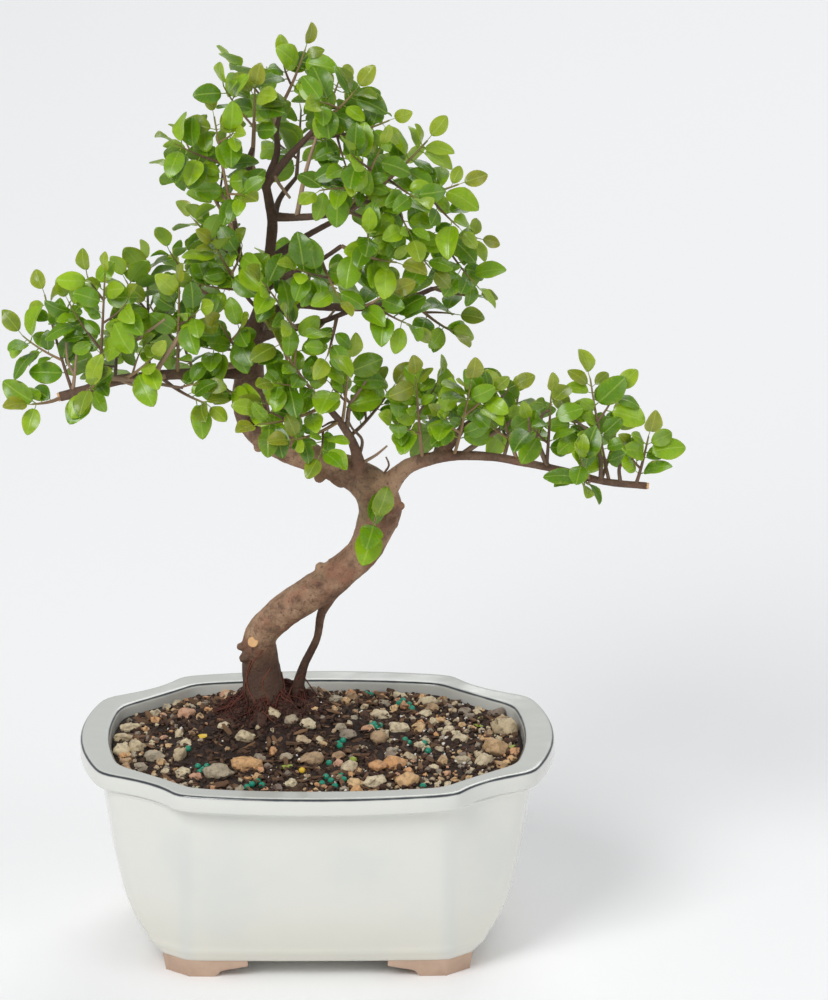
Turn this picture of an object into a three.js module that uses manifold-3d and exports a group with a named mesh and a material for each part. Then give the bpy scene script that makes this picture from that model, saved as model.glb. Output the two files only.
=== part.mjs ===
// Chinese sweet plum bonsai (Sageretia) in its glazed pot.
// Millimetres, +Z up. The parts are laid out from the centre of the pot, with its feet on z = 0,
// and the finished group is then moved so that the whole object is centred on x and y.

import * as THREE from 'three';
import { mergeVertices } from 'three/addons/utils/BufferGeometryUtils.js';
import Module from 'manifold-3d';

const wasm = await Module();
wasm.setup();

// Driving dimensions of the pot
const POT = {
  height: 91,
  baseUnder: 7.5,
  floorTop: 13,
  drainRadius: 8,
  drainSides: 16,
  drainOffset: 28,
};
const LIP = {
  underside: 83, fillet: 0.6, sideFrom: 84.2, edgeTop: 89.4, edgeRound: 1.7, innerRound: 1.6, slope: 0.4,
};
const FOOT = {
  sink: 1, taper: 1.6, thickness: 8, blank: 12, toeFront: 43, heelFront: 28, toeSide: 32, heelSide: 20,
  toeArch: 3, waist: 3.9, heelArch: 5.2, heelTop: 6.9, toePull: 2, heelPull: 1.5,
};

// Each outline is a quarter of the plan: the middle of the long side, where that side ends, the
// middle of the corner, where the short side starts, and the middle of the short side.
const RIM = { long: 76, end: [59.5, 70], corner: [66, 55], start: [92, 45], short: 101.5 };
const NECK = { long: 69, end: [56, 64], corner: [72, 53.5], start: [88.5, 43], short: 93 };
const BASE = { long: 53, end: [55, 52.5], corner: [61, 48], start: [66.5, 43], short: 67 };
const MOUTH = { long: 64.5, end: [53, 60], corner: [63, 50], start: [84, 34], short: 88.5 };
const FLOOR = { long: 45, end: [48, 44.5], corner: [55, 40], start: [61, 34], short: 62 };
const STEPS = { long: 3, corner: 4, short: 3 };

// The wall's swell from base (0) to neck (1), outside and inside, as height and share
const SWELL_OUT = [[7.5, 0], [12.5, 0.2], [21.5, 0.46], [32, 0.66], [52, 0.84], [80, 1]];
const SWELL_IN = [[13, 0], [25, 0.53], [48, 0.81], [88.5, 1]];

// Driving dimensions of the soil and what lies in it
const GAP = 0.35;
const SCREEN = { size: 28, thickness: 1.2, opening: 6, bar: 2 };
const SOIL = {
  edge: 85.5, dome: 2.5, mound: 15, moundAt: [-17, 15], moundReach: 21, grain: 1.1, wallGap: 0.45,
  halfLength: 82, halfWidth: 58,
};
const SOIL_RINGS = [1, 0.92, 0.78, 0.62, 0.45, 0.25];
const PEBBLES = {
  count: 48, smallest: 2.6, largest: 5.2, smallness: 1.5, lift: 0.2, flat: 0.85, widths: [0.85, 1.15],
  lean: 0.5, apart: 0.5, rootsClear: 21, spread: 0.9, crowding: 0.4,
};

// Driving dimensions of the foliage
const LEAF = {
  length: 14.6, sizes: [0.85, 1.2], width: 0.7, widths: [0.92, 1.1], thickness: 0.65, foot: 1.2, petiole: 2.7,
  spacing: 3.7, baseClear: 1.7, youngTip: 0.8, youngEnd: 0.18, shrink: 0.4,
};

// How leaves turn, in radians or as shares: away from the stem, up and down, and where they look
const POSE = { swing: [0.95, 1.4], tipSwing: 0.3, lift: [-0.4, 0.55], droop: 0.3, look: 0.5, lookDown: -0.3 };
const SEAT = { start: 13, step: 0.1, gap: 0.3, reach: 16 };
const SHOOT = { baseRadius: 1, twigRadius: 0.75, tipRadius: 0.55, firstLeaf: 0.14, sag: 0.1, rootZone: 2.6 };
const TWIG = {
  size: 0.5, fade: 1.25, forward: 0.72, sideways: 0.66, outward: 0.12, bow: 0.1, leastLength: 9,
  leaves: 4, mostLeaves: 6, clear: 1.6, firstRing: 2.8, rootZone: 4,
};

// A blade's sections: the share of its length, of its half width, and its rise as a share
const BLADE = [[0.22, 0.9, 0.05], [0.66, 0.88, 0.035], [1, 0, -0.09]];

// Where side twigs leave a shoot: the share of its stem, and the stem length from which they do
const TWIG_SITES = [[0.3, 21], [0.56, 32], [0.78, 50]];
const CLEARANCE = 0.35;
const SEED = 41;
const TRIES = 60;

// Where leaves look to: sideways, away from the middle of the tree, and up. Shoots whose tips lie
// behind the given y look to the rear.
const OUTLOOK = { sideways: 0.3, away: 0.75, up: 0.6, rearFrom: 12 };

// The boxes that keep a leaf clear of others: from and to along it, half the width and half the
// thickness, and the rise. Along a stalk they are in mm, along a blade they are shares of it.
const STALK_BOXES = [[0.7, 2.4, 0.19, 0.65, 0.1], [2.4, 4.2, 0.34, 0.65, 0.3]];
const POINT_FROM = 0.8;
const BLADE_BOXES = [[0.5, 0.85, 0.25], [0.26, 0.9, -0.75]];
const WOOD_STEP = 3;

// Small helpers

// A seeded random generator that gives numbers from 0 to 1.
function seededRandom(seed) {
  let state = Math.imul(seed, 2654435769) >>> 0;
  return () => {
    state = (Math.imul(state, 1664525) + 1013904223) >>> 0;
    return state / 4294967296;
  };
}

const vec = (x, y, z) => new THREE.Vector3(x, y, z);
const mix = (a, b, share) => a + (b - a) * share;

// The value at a height in a list of [height, value] pairs.
function along(table, height) {
  for (let i = 1; i < table.length; i += 1) {
    const [low, high] = [table[i - 1], table[i]];
    if (height <= high[0]) {
      return mix(low[1], high[1], Math.max(0, (height - low[0]) / (high[0] - low[0])));
    }
  }
  return table[table.length - 1][1];
}

// A closed manifold solid from a geometry, and back.
function toSolid(geometry) {
  const plain = geometry.clone();
  plain.deleteAttribute('normal');
  plain.deleteAttribute('uv');
  const merged = mergeVertices(plain, 1e-5);
  return new wasm.Manifold(new wasm.Mesh({
    numProp: 3,
    vertProperties: new Float32Array(merged.getAttribute('position').array),
    triVerts: new Uint32Array(merged.index.array),
  }));
}

function toGeometry(solid) {
  const mesh = solid.getMesh();
  const geometry = new THREE.BufferGeometry();
  geometry.setAttribute('position', new THREE.BufferAttribute(new Float32Array(mesh.vertProperties), 3));
  geometry.setIndex(new THREE.BufferAttribute(new Uint32Array(mesh.triVerts), 1));
  const faceted = geometry.toNonIndexed();
  faceted.computeVertexNormals();
  return faceted;
}

// The largest body of a solid, so that no loose scrap stays in a node.
function largestBody(solid) {
  const bodies = solid.decompose();
  return bodies.reduce((best, body) => (body.volume() > best.volume() ? body : best));
}

function fuse(solids) {
  return solids.slice(1).reduce((whole, solid) => whole.add(solid), solids[0]);
}

// A closed body through a stack of rings with the same number of points, capped at both ends.
function loft(rings) {
  const count = rings[0].length;
  const points = rings.flat();
  const faces = [];
  for (let r = 0; r + 1 < rings.length; r += 1) {
    for (let i = 0; i < count; i += 1) {
      const [a, b] = [r * count + i, r * count + ((i + 1) % count)];
      faces.push(a, b, b + count, a, b + count, a + count);
    }
  }
  const last = (rings.length - 1) * count;
  for (const [ring, start, order] of [[rings[0], 0, 1], [rings[rings.length - 1], last, -1]]) {
    const centre = ring.reduce((sum, p) => sum.add(p), vec(0, 0, 0)).divideScalar(count);
    points.push(centre);
    for (let i = 0; i < count; i += 1) {
      const pair = [start + ((i + 1) % count), start + i];
      faces.push(points.length - 1, ...(order > 0 ? pair : pair.reverse()));
    }
  }
  const geometry = new THREE.BufferGeometry().setFromPoints(points);
  geometry.setIndex(faces);
  return geometry;
}

// Plan outlines of the pot

const between = (a, b, share) => [mix(a[0], b[0], share), mix(a[1], b[1], share)];

// An outline between two others, at a share from 0 to 1.
function blend(low, high, share) {
  return {
    long: mix(low.long, high.long, share),
    end: between(low.end, high.end, share),
    corner: between(low.corner, high.corner, share),
    start: between(low.start, high.start, share),
    short: mix(low.short, high.short, share),
  };
}

// The closed ring of an outline, counter-clockwise from the middle of the short side at +X.
function outlineRing(shape, z, inset = 0) {
  const end = new THREE.Vector2(...shape.end);
  const start = new THREE.Vector2(...shape.start);
  const curves = [
    [new THREE.Vector2(shape.short, 0), new THREE.Vector2(shape.short, start.y * 0.5), start, STEPS.short],
    [start, new THREE.Vector2(...shape.corner), end, STEPS.corner],
    [end, new THREE.Vector2(end.x * 0.5, shape.long), new THREE.Vector2(0, shape.long), STEPS.long],
  ];
  const quarter = [];
  for (const [from, pull, to, steps] of curves) {
    quarter.push(...new THREE.QuadraticBezierCurve(from, pull, to).getPoints(steps).slice(0, -1));
  }
  const half = [...quarter, new THREE.Vector2(0, shape.long)];
  half.push(...quarter.slice(1).reverse().map((p) => new THREE.Vector2(-p.x, p.y)));
  const ring = [...half, ...half.map((p) => new THREE.Vector2(-p.x, -p.y))];
  return ring.map((point, i) => {
    const before = ring[(i + ring.length - 1) % ring.length];
    const after = ring[(i + 1) % ring.length];
    const edge = after.clone().sub(before).normalize();
    return vec(point.x - edge.y * inset, point.y + edge.x * inset, z);
  });
}

const outside = (z) => blend(BASE, NECK, along(SWELL_OUT, z));
const inside = (z) => blend(FLOOR, MOUTH, along(SWELL_IN, z));

// Pot

function potBody() {
  const rings = SWELL_OUT.map(([z]) => outlineRing(outside(z), z));
  rings.push(outlineRing(RIM, LIP.underside - LIP.fillet, LIP.edgeRound + LIP.fillet));
  rings.push(outlineRing(RIM, LIP.sideFrom));
  rings.push(outlineRing(RIM, LIP.edgeTop));
  rings.push(outlineRing(RIM, POT.height, LIP.edgeRound));
  rings.push(outlineRing(MOUTH, POT.height - LIP.slope, -LIP.innerRound));
  rings.push(...[...SWELL_IN].reverse().map(([z]) => outlineRing(inside(z), z)));
  return toSolid(loft(rings));
}

// The two legs of a corner foot, each with an ogee bracket, held inside the tapering base outline.
function cornerFoot() {
  const top = POT.baseUnder + FOOT.sink;
  const leg = (outer, inner, toe, heel) => {
    const shape = new THREE.Shape();
    shape.moveTo(outer, top);
    shape.lineTo(outer, 0);
    shape.lineTo(toe, 0);
    shape.quadraticCurveTo(toe - FOOT.toePull, FOOT.toeArch, mix(toe, heel, 0.5), FOOT.waist);
    shape.quadraticCurveTo(heel + FOOT.heelPull, FOOT.heelArch, heel, FOOT.heelTop);
    shape.lineTo(heel, top);
    shape.closePath();
    const depth = FOOT.thickness + FOOT.blank;
    const block = new THREE.ExtrudeGeometry(shape, { depth, bevelEnabled: false, curveSegments: 2 });
    return block.rotateX(Math.PI / 2).translate(0, inner + depth, 0);
  };
  const front = leg(BASE.short + FOOT.blank, BASE.long - FOOT.thickness, FOOT.toeFront, FOOT.heelFront);
  const side = leg(BASE.long + FOOT.blank, -BASE.short - FOOT.blank, FOOT.toeSide, FOOT.heelSide);
  side.rotateZ(Math.PI / 2);
  const taper = toSolid(loft([outlineRing(BASE, 0, FOOT.taper), outlineRing(BASE, top)]));
  return toSolid(front).add(toSolid(side)).intersect(taper);
}

// A solid mirrored across x, y or both.
function mirrored(solid, sideX, sideY) {
  const geometry = toGeometry(solid).scale(sideX, sideY, 1);
  if (sideX * sideY < 0) {
    const count = geometry.getAttribute('position').count;
    geometry.setIndex(Array.from({ length: count }, (_, i) => i - (i % 3) + [0, 2, 1][i % 3]));
  }
  return toSolid(geometry);
}

function drainHole(x) {
  const hole = new THREE.CylinderGeometry(POT.drainRadius, POT.drainRadius, POT.floorTop, POT.drainSides);
  hole.rotateX(Math.PI / 2);
  hole.translate(x, 0, (POT.baseUnder + POT.floorTop) / 2);
  return toSolid(hole);
}

function pot() {
  let body = potBody();
  const foot = cornerFoot();
  for (const [sideX, sideY] of [[1, 1], [-1, 1], [-1, -1], [1, -1]]) {
    body = body.add(mirrored(foot, sideX, sideY));
  }
  for (const side of [-1, 1]) {
    body = body.subtract(drainHole(side * POT.drainOffset));
  }
  return body;
}

// Drain screens

function drainScreen(x) {
  const z = POT.floorTop + GAP + SCREEN.thickness / 2;
  const pitch = SCREEN.opening + SCREEN.bar;
  const plate = new THREE.BoxGeometry(SCREEN.size, SCREEN.size, SCREEN.thickness);
  let screen = toSolid(plate.translate(x, 0, z));
  for (const column of [-1, 0, 1]) {
    for (const row of [-1, 0, 1]) {
      const opening = new THREE.BoxGeometry(SCREEN.opening, SCREEN.opening, SCREEN.thickness * 2);
      screen = screen.subtract(toSolid(opening.translate(x + column * pitch, row * pitch, z)));
    }
  }
  return screen;
}

// Tree

const BARK = { uneven: 0.05, trunkSides: 12, trunkRings: 28, thickSides: 6, thinSides: 5, rootRings: 2 };

// The waves round a limb: how many there are, how far each ring turns them, and their weight
const WAVES = [[2, 0.9, 1], [3, -1.7, 0.6]];
const THICK_LIMBS = ['lowRight', 'left', 'prop'];

// The trunk's route from inside the soil to its top fork, as [x, y, z, radius].
const TRUNK = [
  [-21, 13, 66, 6.5], [-22, 13, 86, 9.5], [-23, 12, 99, 10.5], [-23, 11, 109, 8.8], [-24, 10, 121, 7.8],
  [-24, 7, 133, 7.2], [-17, 4, 143, 7.2], [-6, 2, 152, 7.3], [5, 1, 160, 7.8], [15, 2, 168, 7.0],
  [21, 3, 175, 7.4], [25, 4, 184, 8.4], [27, 5, 192, 9.4], [24, 6, 200, 8.8], [16, 8, 206, 7.0],
  [0, 10, 212, 6.3], [-15, 12, 219, 6.9], [-25, 13, 227, 7.4], [-28, 14, 237, 8.0], [-28, 14, 247, 6.3],
  [-27, 13, 257, 4.9], [-26, 11, 269, 3.9], [-23, 9, 281, 3.1], [-21, 8, 292, 2.6], [-19, 7, 308, 2.4],
  [-18, 6, 320, 2.3], [-19, 6, 327, 2.2], [-21, 7, 337, 2.0],
];

// Each limb's route from inside what it grows from out to its cut or growing end.
const LIMBS = {
  prop: [[8, 1, 157, 3.2], [2, 6, 144, 2.0], [0, 10, 131, 1.7], [-6, 14, 116, 2.1], [-9, 16, 102, 3.2],
    [-10, 17, 90, 2.2]],
  lowRight: [[27, 6, 196, 6.0], [34, 4, 207, 3.8], [41, 2, 213, 3.1], [49, 0, 216, 2.7], [61, -2, 218, 2.1],
    [75, -4, 218, 1.9], [89, -6, 216, 1.8], [105, -8, 213, 1.7], [122, -10, 209, 1.6], [140, -10, 207, 1.6]],
  stub: [[49, 0, 216, 2.2], [57, 2, 222, 2.2], [62, 4, 228, 1.7], [70, 6, 232, 1.6]],
  left: [[-28, 14, 251, 4.2], [-38, 8, 252, 2.7], [-52, 1, 254, 2.4], [-70, -8, 256, 2.2],
    [-85, -11, 255, 2.4], [-96, -13, 252, 2.4], [-108, -14, 249, 2.2]],
  frontMid: [[19, 7, 205, 3.6], [18, 0, 214, 2.6], [15, -5, 226, 2.0], [10, -9, 236, 1.7], [3, -13, 246, 1.4]],
  rightMid: [[-25, 11, 273, 3.0], [-11, 20, 278, 2.1], [6, 26, 275, 1.8], [25, 29, 274, 1.7],
    [38, 29, 277, 1.4], [50, 27, 283, 1.2]],
  rightLow: [[-26, 11, 266, 2.6], [-13, -4, 275, 1.7], [2, -14, 282, 1.4], [16, -21, 290, 1.2]],
  midRight: [[-22, 8, 289, 2.1], [-11, -2, 299, 1.5], [1, -12, 308, 1.2], [11, -18, 317, 1.0]],
  upRight: [[-18, 6, 322, 2.2], [-8, -4, 325, 1.7], [6, -12, 329, 1.4], [20, -17, 336, 1.1]],
  crownRight: [[-21, 7, 335, 2.0], [-12, 4, 348, 1.7], [-5, 0, 357, 1.4], [4, -4, 368, 1.1]],
  leader: [[-21, 7, 336, 2.0], [-16, 9, 349, 1.5], [-16, 8, 360, 1.2], [-13, 6, 373, 1.0]],
  crownLeft: [[-21, 7, 335, 1.9], [-28, 4, 345, 1.4], [-26, 2, 354, 1.1]],
  leftUp: [[-22, 8, 289, 2.0], [-29, 2, 298, 1.5], [-32, -2, 310, 1.1], [-34, -5, 324, 0.9]],
  backLow: [[-27, 13, 260, 2.6], [-22, 32, 263, 1.8], [-12, 50, 267, 1.3]],
  backLeft: [[-26, 11, 270, 2.3], [-36, 27, 273, 1.5], [-46, 40, 276, 1.1]],
  backUp: [[-18, 6, 319, 1.9], [-15, 24, 324, 1.3], [-8, 38, 329, 1.0]],
  backRight: [[-20, 7, 302, 2.0], [-4, 22, 308, 1.5], [12, 34, 313, 1.2]],
};

// Surface roots that spread over the mound and dive into the soil.
const ROOTS = [
  [[-22, 12, 104, 6.0], [-33, 6, 99, 3.4], [-42, 1, 91, 2.2], [-48, -2, 82, 1.4]],
  [[-22, 10, 103, 5.5], [-24, -1, 99, 3.2], [-24, -10, 92, 2.0], [-24, -17, 82, 1.3]],
  [[-20, 12, 104, 5.5], [-12, 3, 100, 3.0], [-3, -3, 92, 2.0], [4, -7, 82, 1.3]],
  [[-20, 14, 104, 5.5], [-10, 22, 101, 3.0], [-1, 29, 92, 2.0], [5, 34, 82, 1.3]],
  [[-24, 14, 104, 5.5], [-31, 23, 99, 3.0], [-38, 31, 91, 1.9], [-43, 36, 82, 1.3]],
];

// Bosses and knots on the trunk, as centre and radius.
const KNOTS = [
  [[-32, 4, 124], 3.0], [[-27, -1, 229], 3.4], [[-3, -4, 147], 2.8], [[33, 0, 186], 3.6], [[-36, 8, 119], 2.6],
];

// A tapering, slightly uneven limb through [x, y, z, radius] points.
function limb(route, sides, rings, fatten) {
  const curve = new THREE.CatmullRomCurve3(route.map(([x, y, z]) => vec(x, y, z)), false, 'centripetal');
  const frames = curve.computeFrenetFrames(rings, false);
  const stack = [];
  for (let r = 0; r <= rings; r += 1) {
    const place = curve.getUtoTmapping(r / rings) * (route.length - 1);
    const index = Math.min(route.length - 2, Math.floor(place));
    const radius = mix(route[index][3], route[index + 1][3], place - index);
    const centre = curve.getPointAt(r / rings);
    const ring = [];
    for (let i = 0; i < sides; i += 1) {
      const angle = (i / sides) * 2 * Math.PI;
      const wave = WAVES.reduce((sum, [n, turn, weight]) => sum + weight * Math.sin(angle * n + r * turn), 0);
      const reach = radius * (1 + BARK.uneven * wave) + fatten;
      ring.push(centre.clone()
        .addScaledVector(frames.normals[r], Math.cos(angle) * reach)
        .addScaledVector(frames.binormals[r], Math.sin(angle) * reach));
    }
    stack.push(ring);
  }
  return toSolid(loft(stack));
}

// The whole tree, or the same shape grown by a margin to cut its seat in the soil.
function tree(fatten = 0) {
  const parts = [limb(TRUNK, BARK.trunkSides, BARK.trunkRings, fatten)];
  for (const [name, route] of Object.entries(LIMBS)) {
    const sides = THICK_LIMBS.includes(name) ? BARK.thickSides : BARK.thinSides;
    parts.push(limb(route, sides, route.length - 1, fatten));
  }
  for (const route of ROOTS) {
    parts.push(limb(route, BARK.thinSides, BARK.rootRings, fatten));
  }
  for (const [[x, y, z], radius] of KNOTS) {
    const knot = new THREE.IcosahedronGeometry(radius + fatten, 0);
    knot.translate(x, y, z);
    parts.push(toSolid(knot));
  }
  return largestBody(fuse(parts));
}

// Soil

// The height of the soil at a place that lies at a share of the way from the middle to the wall.
function soilHeight(x, y, edge) {
  const away = Math.hypot(x - SOIL.moundAt[0], y - SOIL.moundAt[1]) / SOIL.moundReach;
  const mound = Math.exp(-0.5 * away ** 2);
  const grain = Math.sin(x * 0.71 + 1.3 * Math.sin(y * 0.43)) * Math.cos(y * 0.83 + Math.sin(x * 0.37));
  return SOIL.edge + (1 - edge ** 4) * (SOIL.dome + SOIL.grain * grain) + SOIL.mound * mound * (1 - edge ** 8);
}

function soilBody() {
  const rings = [];
  for (const [z] of SWELL_IN.slice(0, -1)) {
    rings.push(outlineRing(inside(z), z + (z === POT.floorTop ? GAP : 0), SOIL.wallGap));
  }
  const rim = outlineRing(inside(SOIL.edge), SOIL.edge, SOIL.wallGap);
  for (const share of SOIL_RINGS) {
    rings.push(rim.map((p) => vec(p.x * share, p.y * share, soilHeight(p.x * share, p.y * share, share))));
  }
  return toSolid(loft(rings));
}

// Stones and bark bits scattered over the surface, sunk well in, and more of them near the wall.
function pebbles() {
  const random = seededRandom(SEED);
  const stones = [];
  while (stones.length < PEBBLES.count) {
    const angle = random() * 2 * Math.PI;
    const share = PEBBLES.spread * random() ** PEBBLES.crowding;
    const x = Math.cos(angle) * SOIL.halfLength * share;
    const y = Math.sin(angle) * SOIL.halfWidth * share;
    const size = mix(PEBBLES.smallest, PEBBLES.largest, random() ** PEBBLES.smallness);
    const turn = [random(), random(), random()];
    const clear = Math.hypot(x - TRUNK[2][0], y - TRUNK[2][1]) > PEBBLES.rootsClear;
    const apart = stones.every((stone) => (
      Math.hypot(x - stone.x, y - stone.y) > size + stone.size + PEBBLES.apart));
    if (clear && apart) {
      stones.push({ x, y, size, share, turn });
    }
  }
  return stones.map(({ x, y, size, share, turn }) => {
    const stone = new THREE.OctahedronGeometry(size);
    stone.rotateY(mix(-PEBBLES.lean, PEBBLES.lean, turn[0]));
    stone.scale(mix(...PEBBLES.widths, turn[1]), 1, PEBBLES.flat);
    stone.rotateZ(turn[2] * Math.PI);
    stone.translate(x, y, soilHeight(x, y, share) + size * PEBBLES.lift);
    return toSolid(stone);
  });
}

function soil() {
  const half = SCREEN.size / 2 + GAP;
  let body = fuse([soilBody(), ...pebbles()]).subtract(tree(GAP));
  for (const side of [-1, 1]) {
    const recess = new THREE.BoxGeometry(half * 2, half * 2, (SCREEN.thickness + 2 * GAP) * 2);
    recess.translate(side * POT.drainOffset, 0, POT.floorTop);
    body = body.subtract(toSolid(recess));
  }
  return largestBody(body);
}

// Leafy shoots
// Each shoot: the limb that it grows from, how far along it, its tip, and its number of leaves.
const SHOOTS = {
  left_end: ['left', 0.93, [-114, 2, 289], 8],
  left_fan: ['left', 0.8, [-88, -22, 305], 7],
  left_mid: ['left', 0.55, [-71, 14, 298], 5],
  left_inner: ['left', 0.4, [-57, -18, 299], 6],
  left_low: ['left', 0.7, [-69, -26, 270], 4],
  left_hang: ['left', 0.5, [-46, -20, 248], 3],
  left_rear: ['left', 0.72, [-84, 26, 265], 6],
  left_rear_in: ['left', 0.3, [-58, 34, 262], 5],
  left_front: ['left', 0.86, [-94, -38, 262], 4],
  left_point: ['left', 0.97, [-119, -23, 249], 2],
  shoulder: ['trunk', 0.82, [-42, -14, 316], 3],
  shoulder_low: ['trunk', 0.745, [-40, -13, 281], 4],
  collar: ['trunk', 0.7, [-38, -8, 250], 4],
  rise: ['leftUp', 1, [-42, -6, 370], 7],
  rise_side: ['leftUp', 0.85, [-54, 14, 352], 5],
  wisp: ['leftUp', 0.5, [-51, 14, 318], 4],
  apex: ['leader', 1, [-4, 4, 396], 8],
  apex_left: ['crownLeft', 1, [-25, -4, 381], 5],
  apex_rear: ['leader', 0.62, [-19, 36, 370], 6],
  crown_tip: ['crownRight', 1, [17, -8, 382], 5],
  crown_long: ['crownRight', 0.72, [31, -15, 371], 5],
  crown_rear: ['crownRight', 0.85, [10, 33, 373], 6],
  up_tip: ['upRight', 0.86, [27, -20, 360], 4],
  up_far: ['upRight', 0.9, [47, -2, 358], 6],
  up_low: ['upRight', 1, [60, -6, 340], 5],
  far_right: ['upRight', 0.8, [68, 4, 313], 6],
  brow: ['midRight', 1, [34, -28, 313], 4],
  brow_low: ['midRight', 0.75, [10, -32, 299], 4],
  mid_end: ['rightMid', 1, [68, 18, 283], 5],
  mid_drop: ['rightMid', 0.86, [58, 8, 270], 4],
  mid_rear: ['rightMid', 0.7, [38, 48, 276], 5],
  low_end: ['rightLow', 1, [30, -24, 298], 4],
  low_drop: ['rightLow', 0.85, [5, -34, 274], 4],
  low_front: ['rightLow', 0.5, [-12, -30, 290], 4],
  front_tip: ['frontMid', 1, [-17, -25, 280], 7],
  front_low: ['frontMid', 0.96, [-24, -32, 243], 5],
  front_hang: ['frontMid', 0.75, [-10, -32, 236], 4],
  front_rise: ['frontMid', 0.7, [14, -14, 264], 5],
  front_right: ['frontMid', 0.55, [32, 4, 246], 4],
  knee: ['trunk', 0.415, [25, -20, 197], 4],
  low_near: ['lowRight', 0.22, [42, -17, 258], 5],
  low_rise: ['stub', 0.8, [82, 10, 244], 5],
  low_spray: ['lowRight', 0.33, [65, -21, 257], 6],
  low_mid: ['lowRight', 0.55, [77, -1, 243], 5],
  low_bow: ['lowRight', 0.65, [99, -12, 248], 5],
  low_rear: ['lowRight', 0.26, [55, 33, 234], 5],
  low_back: ['lowRight', 0.5, [86, 28, 234], 4],
  end_up: ['lowRight', 0.87, [116, 8, 249], 6],
  end_tip: ['lowRight', 0.96, [140, -18, 232], 5],
  end_front: ['lowRight', 0.8, [111, -28, 226], 4],
  end_rear: ['lowRight', 0.84, [128, 14, 226], 4],
  back_low: ['backLow', 1, [4, 66, 272], 6],
  back_left: ['backLeft', 1, [-58, 56, 282], 6],
  back_up: ['backUp', 1, [-6, 50, 355], 5],
  back_right: ['backRight', 1, [36, 50, 330], 6],
};

// Side twigs with a place of their own, as the share of the stem and the tip. Other shoots have
// side twigs by rule.
const SIDE_TWIGS = {
  crown_long: [[0.3, [14, -24, 351]], [0.62, [33, -28, 356]]],
  crown_tip: [[0.4, [2, -18, 380]]],
  up_tip: [[0.25, [2, -29, 345]], [0.62, [15, -32, 362]]],
  up_far: [[0.4, [42, -30, 342]]],
  up_low: [[0.3, [40, -28, 325]], [0.66, [60, -18, 325]]],
  far_right: [[0.2, [30, -14, 309]], [0.45, [48, -14, 306]], [0.72, [67, -9, 297]]],
  brow: [[0.4, [22, -36, 329]]],
  brow_low: [[0.4, [-7, -34, 312]]],
  low_end: [[0.45, [40, -24, 284]]],
  low_front: [[0.5, [-22, -32, 306]]],
  rise: [[0.25, [-30, -20, 340]], [0.55, [-58, -18, 362]], [0.75, [-34, -16, 366]]],
  apex_left: [[0.35, [-38, -8, 384]]],
  apex_rear: [[0.5, [-34, 36, 380]]],
  crown_rear: [[0.5, [22, 18, 366]]],
  back_up: [[0.25, [-20, 52, 344]], [0.5, [18, 50, 352]]],
  back_right: [[0.3, [14, 54, 318]], [0.6, [20, 46, 341]]],
  back_low: [[0.3, [-18, 66, 280]], [0.6, [20, 58, 282]]],
  back_left: [[0.3, [-42, 58, 294]], [0.55, [-62, 44, 294]]],
};

const LIMB_CURVES = Object.fromEntries(Object.entries({ trunk: TRUNK, ...LIMBS }).map(([name, route]) => [
  name,
  new THREE.CatmullRomCurve3(route.map(([x, y, z]) => vec(x, y, z)), false, 'centripetal'),
]));

// The radius of a limb at a share of its length.
function limbRadius(route, curve, share) {
  const place = curve.getUtoTmapping(share) * (route.length - 1);
  const index = Math.min(route.length - 2, Math.floor(place));
  return mix(route[index][3], route[index + 1][3], place - index);
}

// The way that a shoot's leaves look: outwards and up, on the front and on the rear of the tree.
function outlookOf([, , tip]) {
  const away = tip[1] < OUTLOOK.rearFrom ? -OUTLOOK.away : OUTLOOK.away;
  const sideways = tip[0] < TRUNK[2][0] ? -OUTLOOK.sideways : OUTLOOK.sideways;
  return vec(sideways, away, OUTLOOK.up).normalize();
}

// The three corners of a stem's section: two of its flats look to the sides, and one to the back.
function sectionAt(centre, tangent, outlook, radius) {
  const side = tangent.clone().cross(outlook).negate().normalize();
  const rise = tangent.clone().cross(side);
  const corners = [-30, 90, 210].map((degrees) => {
    const angle = THREE.MathUtils.degToRad(degrees);
    return centre.clone()
      .addScaledVector(side, Math.cos(angle) * radius)
      .addScaledVector(rise, Math.sin(angle) * radius);
  });
  return { corners, side };
}

// The triangles of a geometry that come within a reach of a point.
function trianglesNear(geometry, point, reach) {
  const position = geometry.getAttribute('position');
  const near = [];
  for (let i = 0; i < position.count; i += 3) {
    const corners = [0, 1, 2].map((k) => vec(0, 0, 0).fromBufferAttribute(position, i + k));
    const triangle = new THREE.Triangle(...corners);
    if (triangle.closestPointToPoint(point, vec(0, 0, 0)).distanceTo(point) < reach) {
      near.push(triangle);
    }
  }
  return near;
}

// A shoot's stem: its cut end sits just clear of the bark, and it sags a little on its way to the tip.
function stemCurve(shoot, bark) {
  const [limbName, share, tip] = shoot;
  const heart = LIMB_CURVES[limbName].getPointAt(share);
  const end = vec(...tip);
  const pull = heart.clone().lerp(end, 0.5).add(vec(0, 0, -SHOOT.sag * heart.distanceTo(end)));
  const away = pull.clone().sub(heart).normalize();
  const near = trianglesNear(bark, heart, SEAT.reach);
  const clear = (reach) => {
    const centre = heart.clone().addScaledVector(away, reach);
    const { corners } = sectionAt(centre, away, outlookOf(shoot), SHOOT.baseRadius);
    const middles = corners.map((corner, i) => corner.clone().lerp(corners[(i + 1) % 3], 0.5));
    return [centre, ...corners, ...middles].every((point) => near.every((triangle) => (
      triangle.closestPointToPoint(point, vec(0, 0, 0)).distanceTo(point) > SEAT.gap)));
  };
  let reach = SEAT.start;
  while (clear(reach - SEAT.step)) {
    reach -= SEAT.step;
  }
  return new THREE.QuadraticBezierCurve3(heart.addScaledVector(away, reach), pull, end);
}

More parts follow.
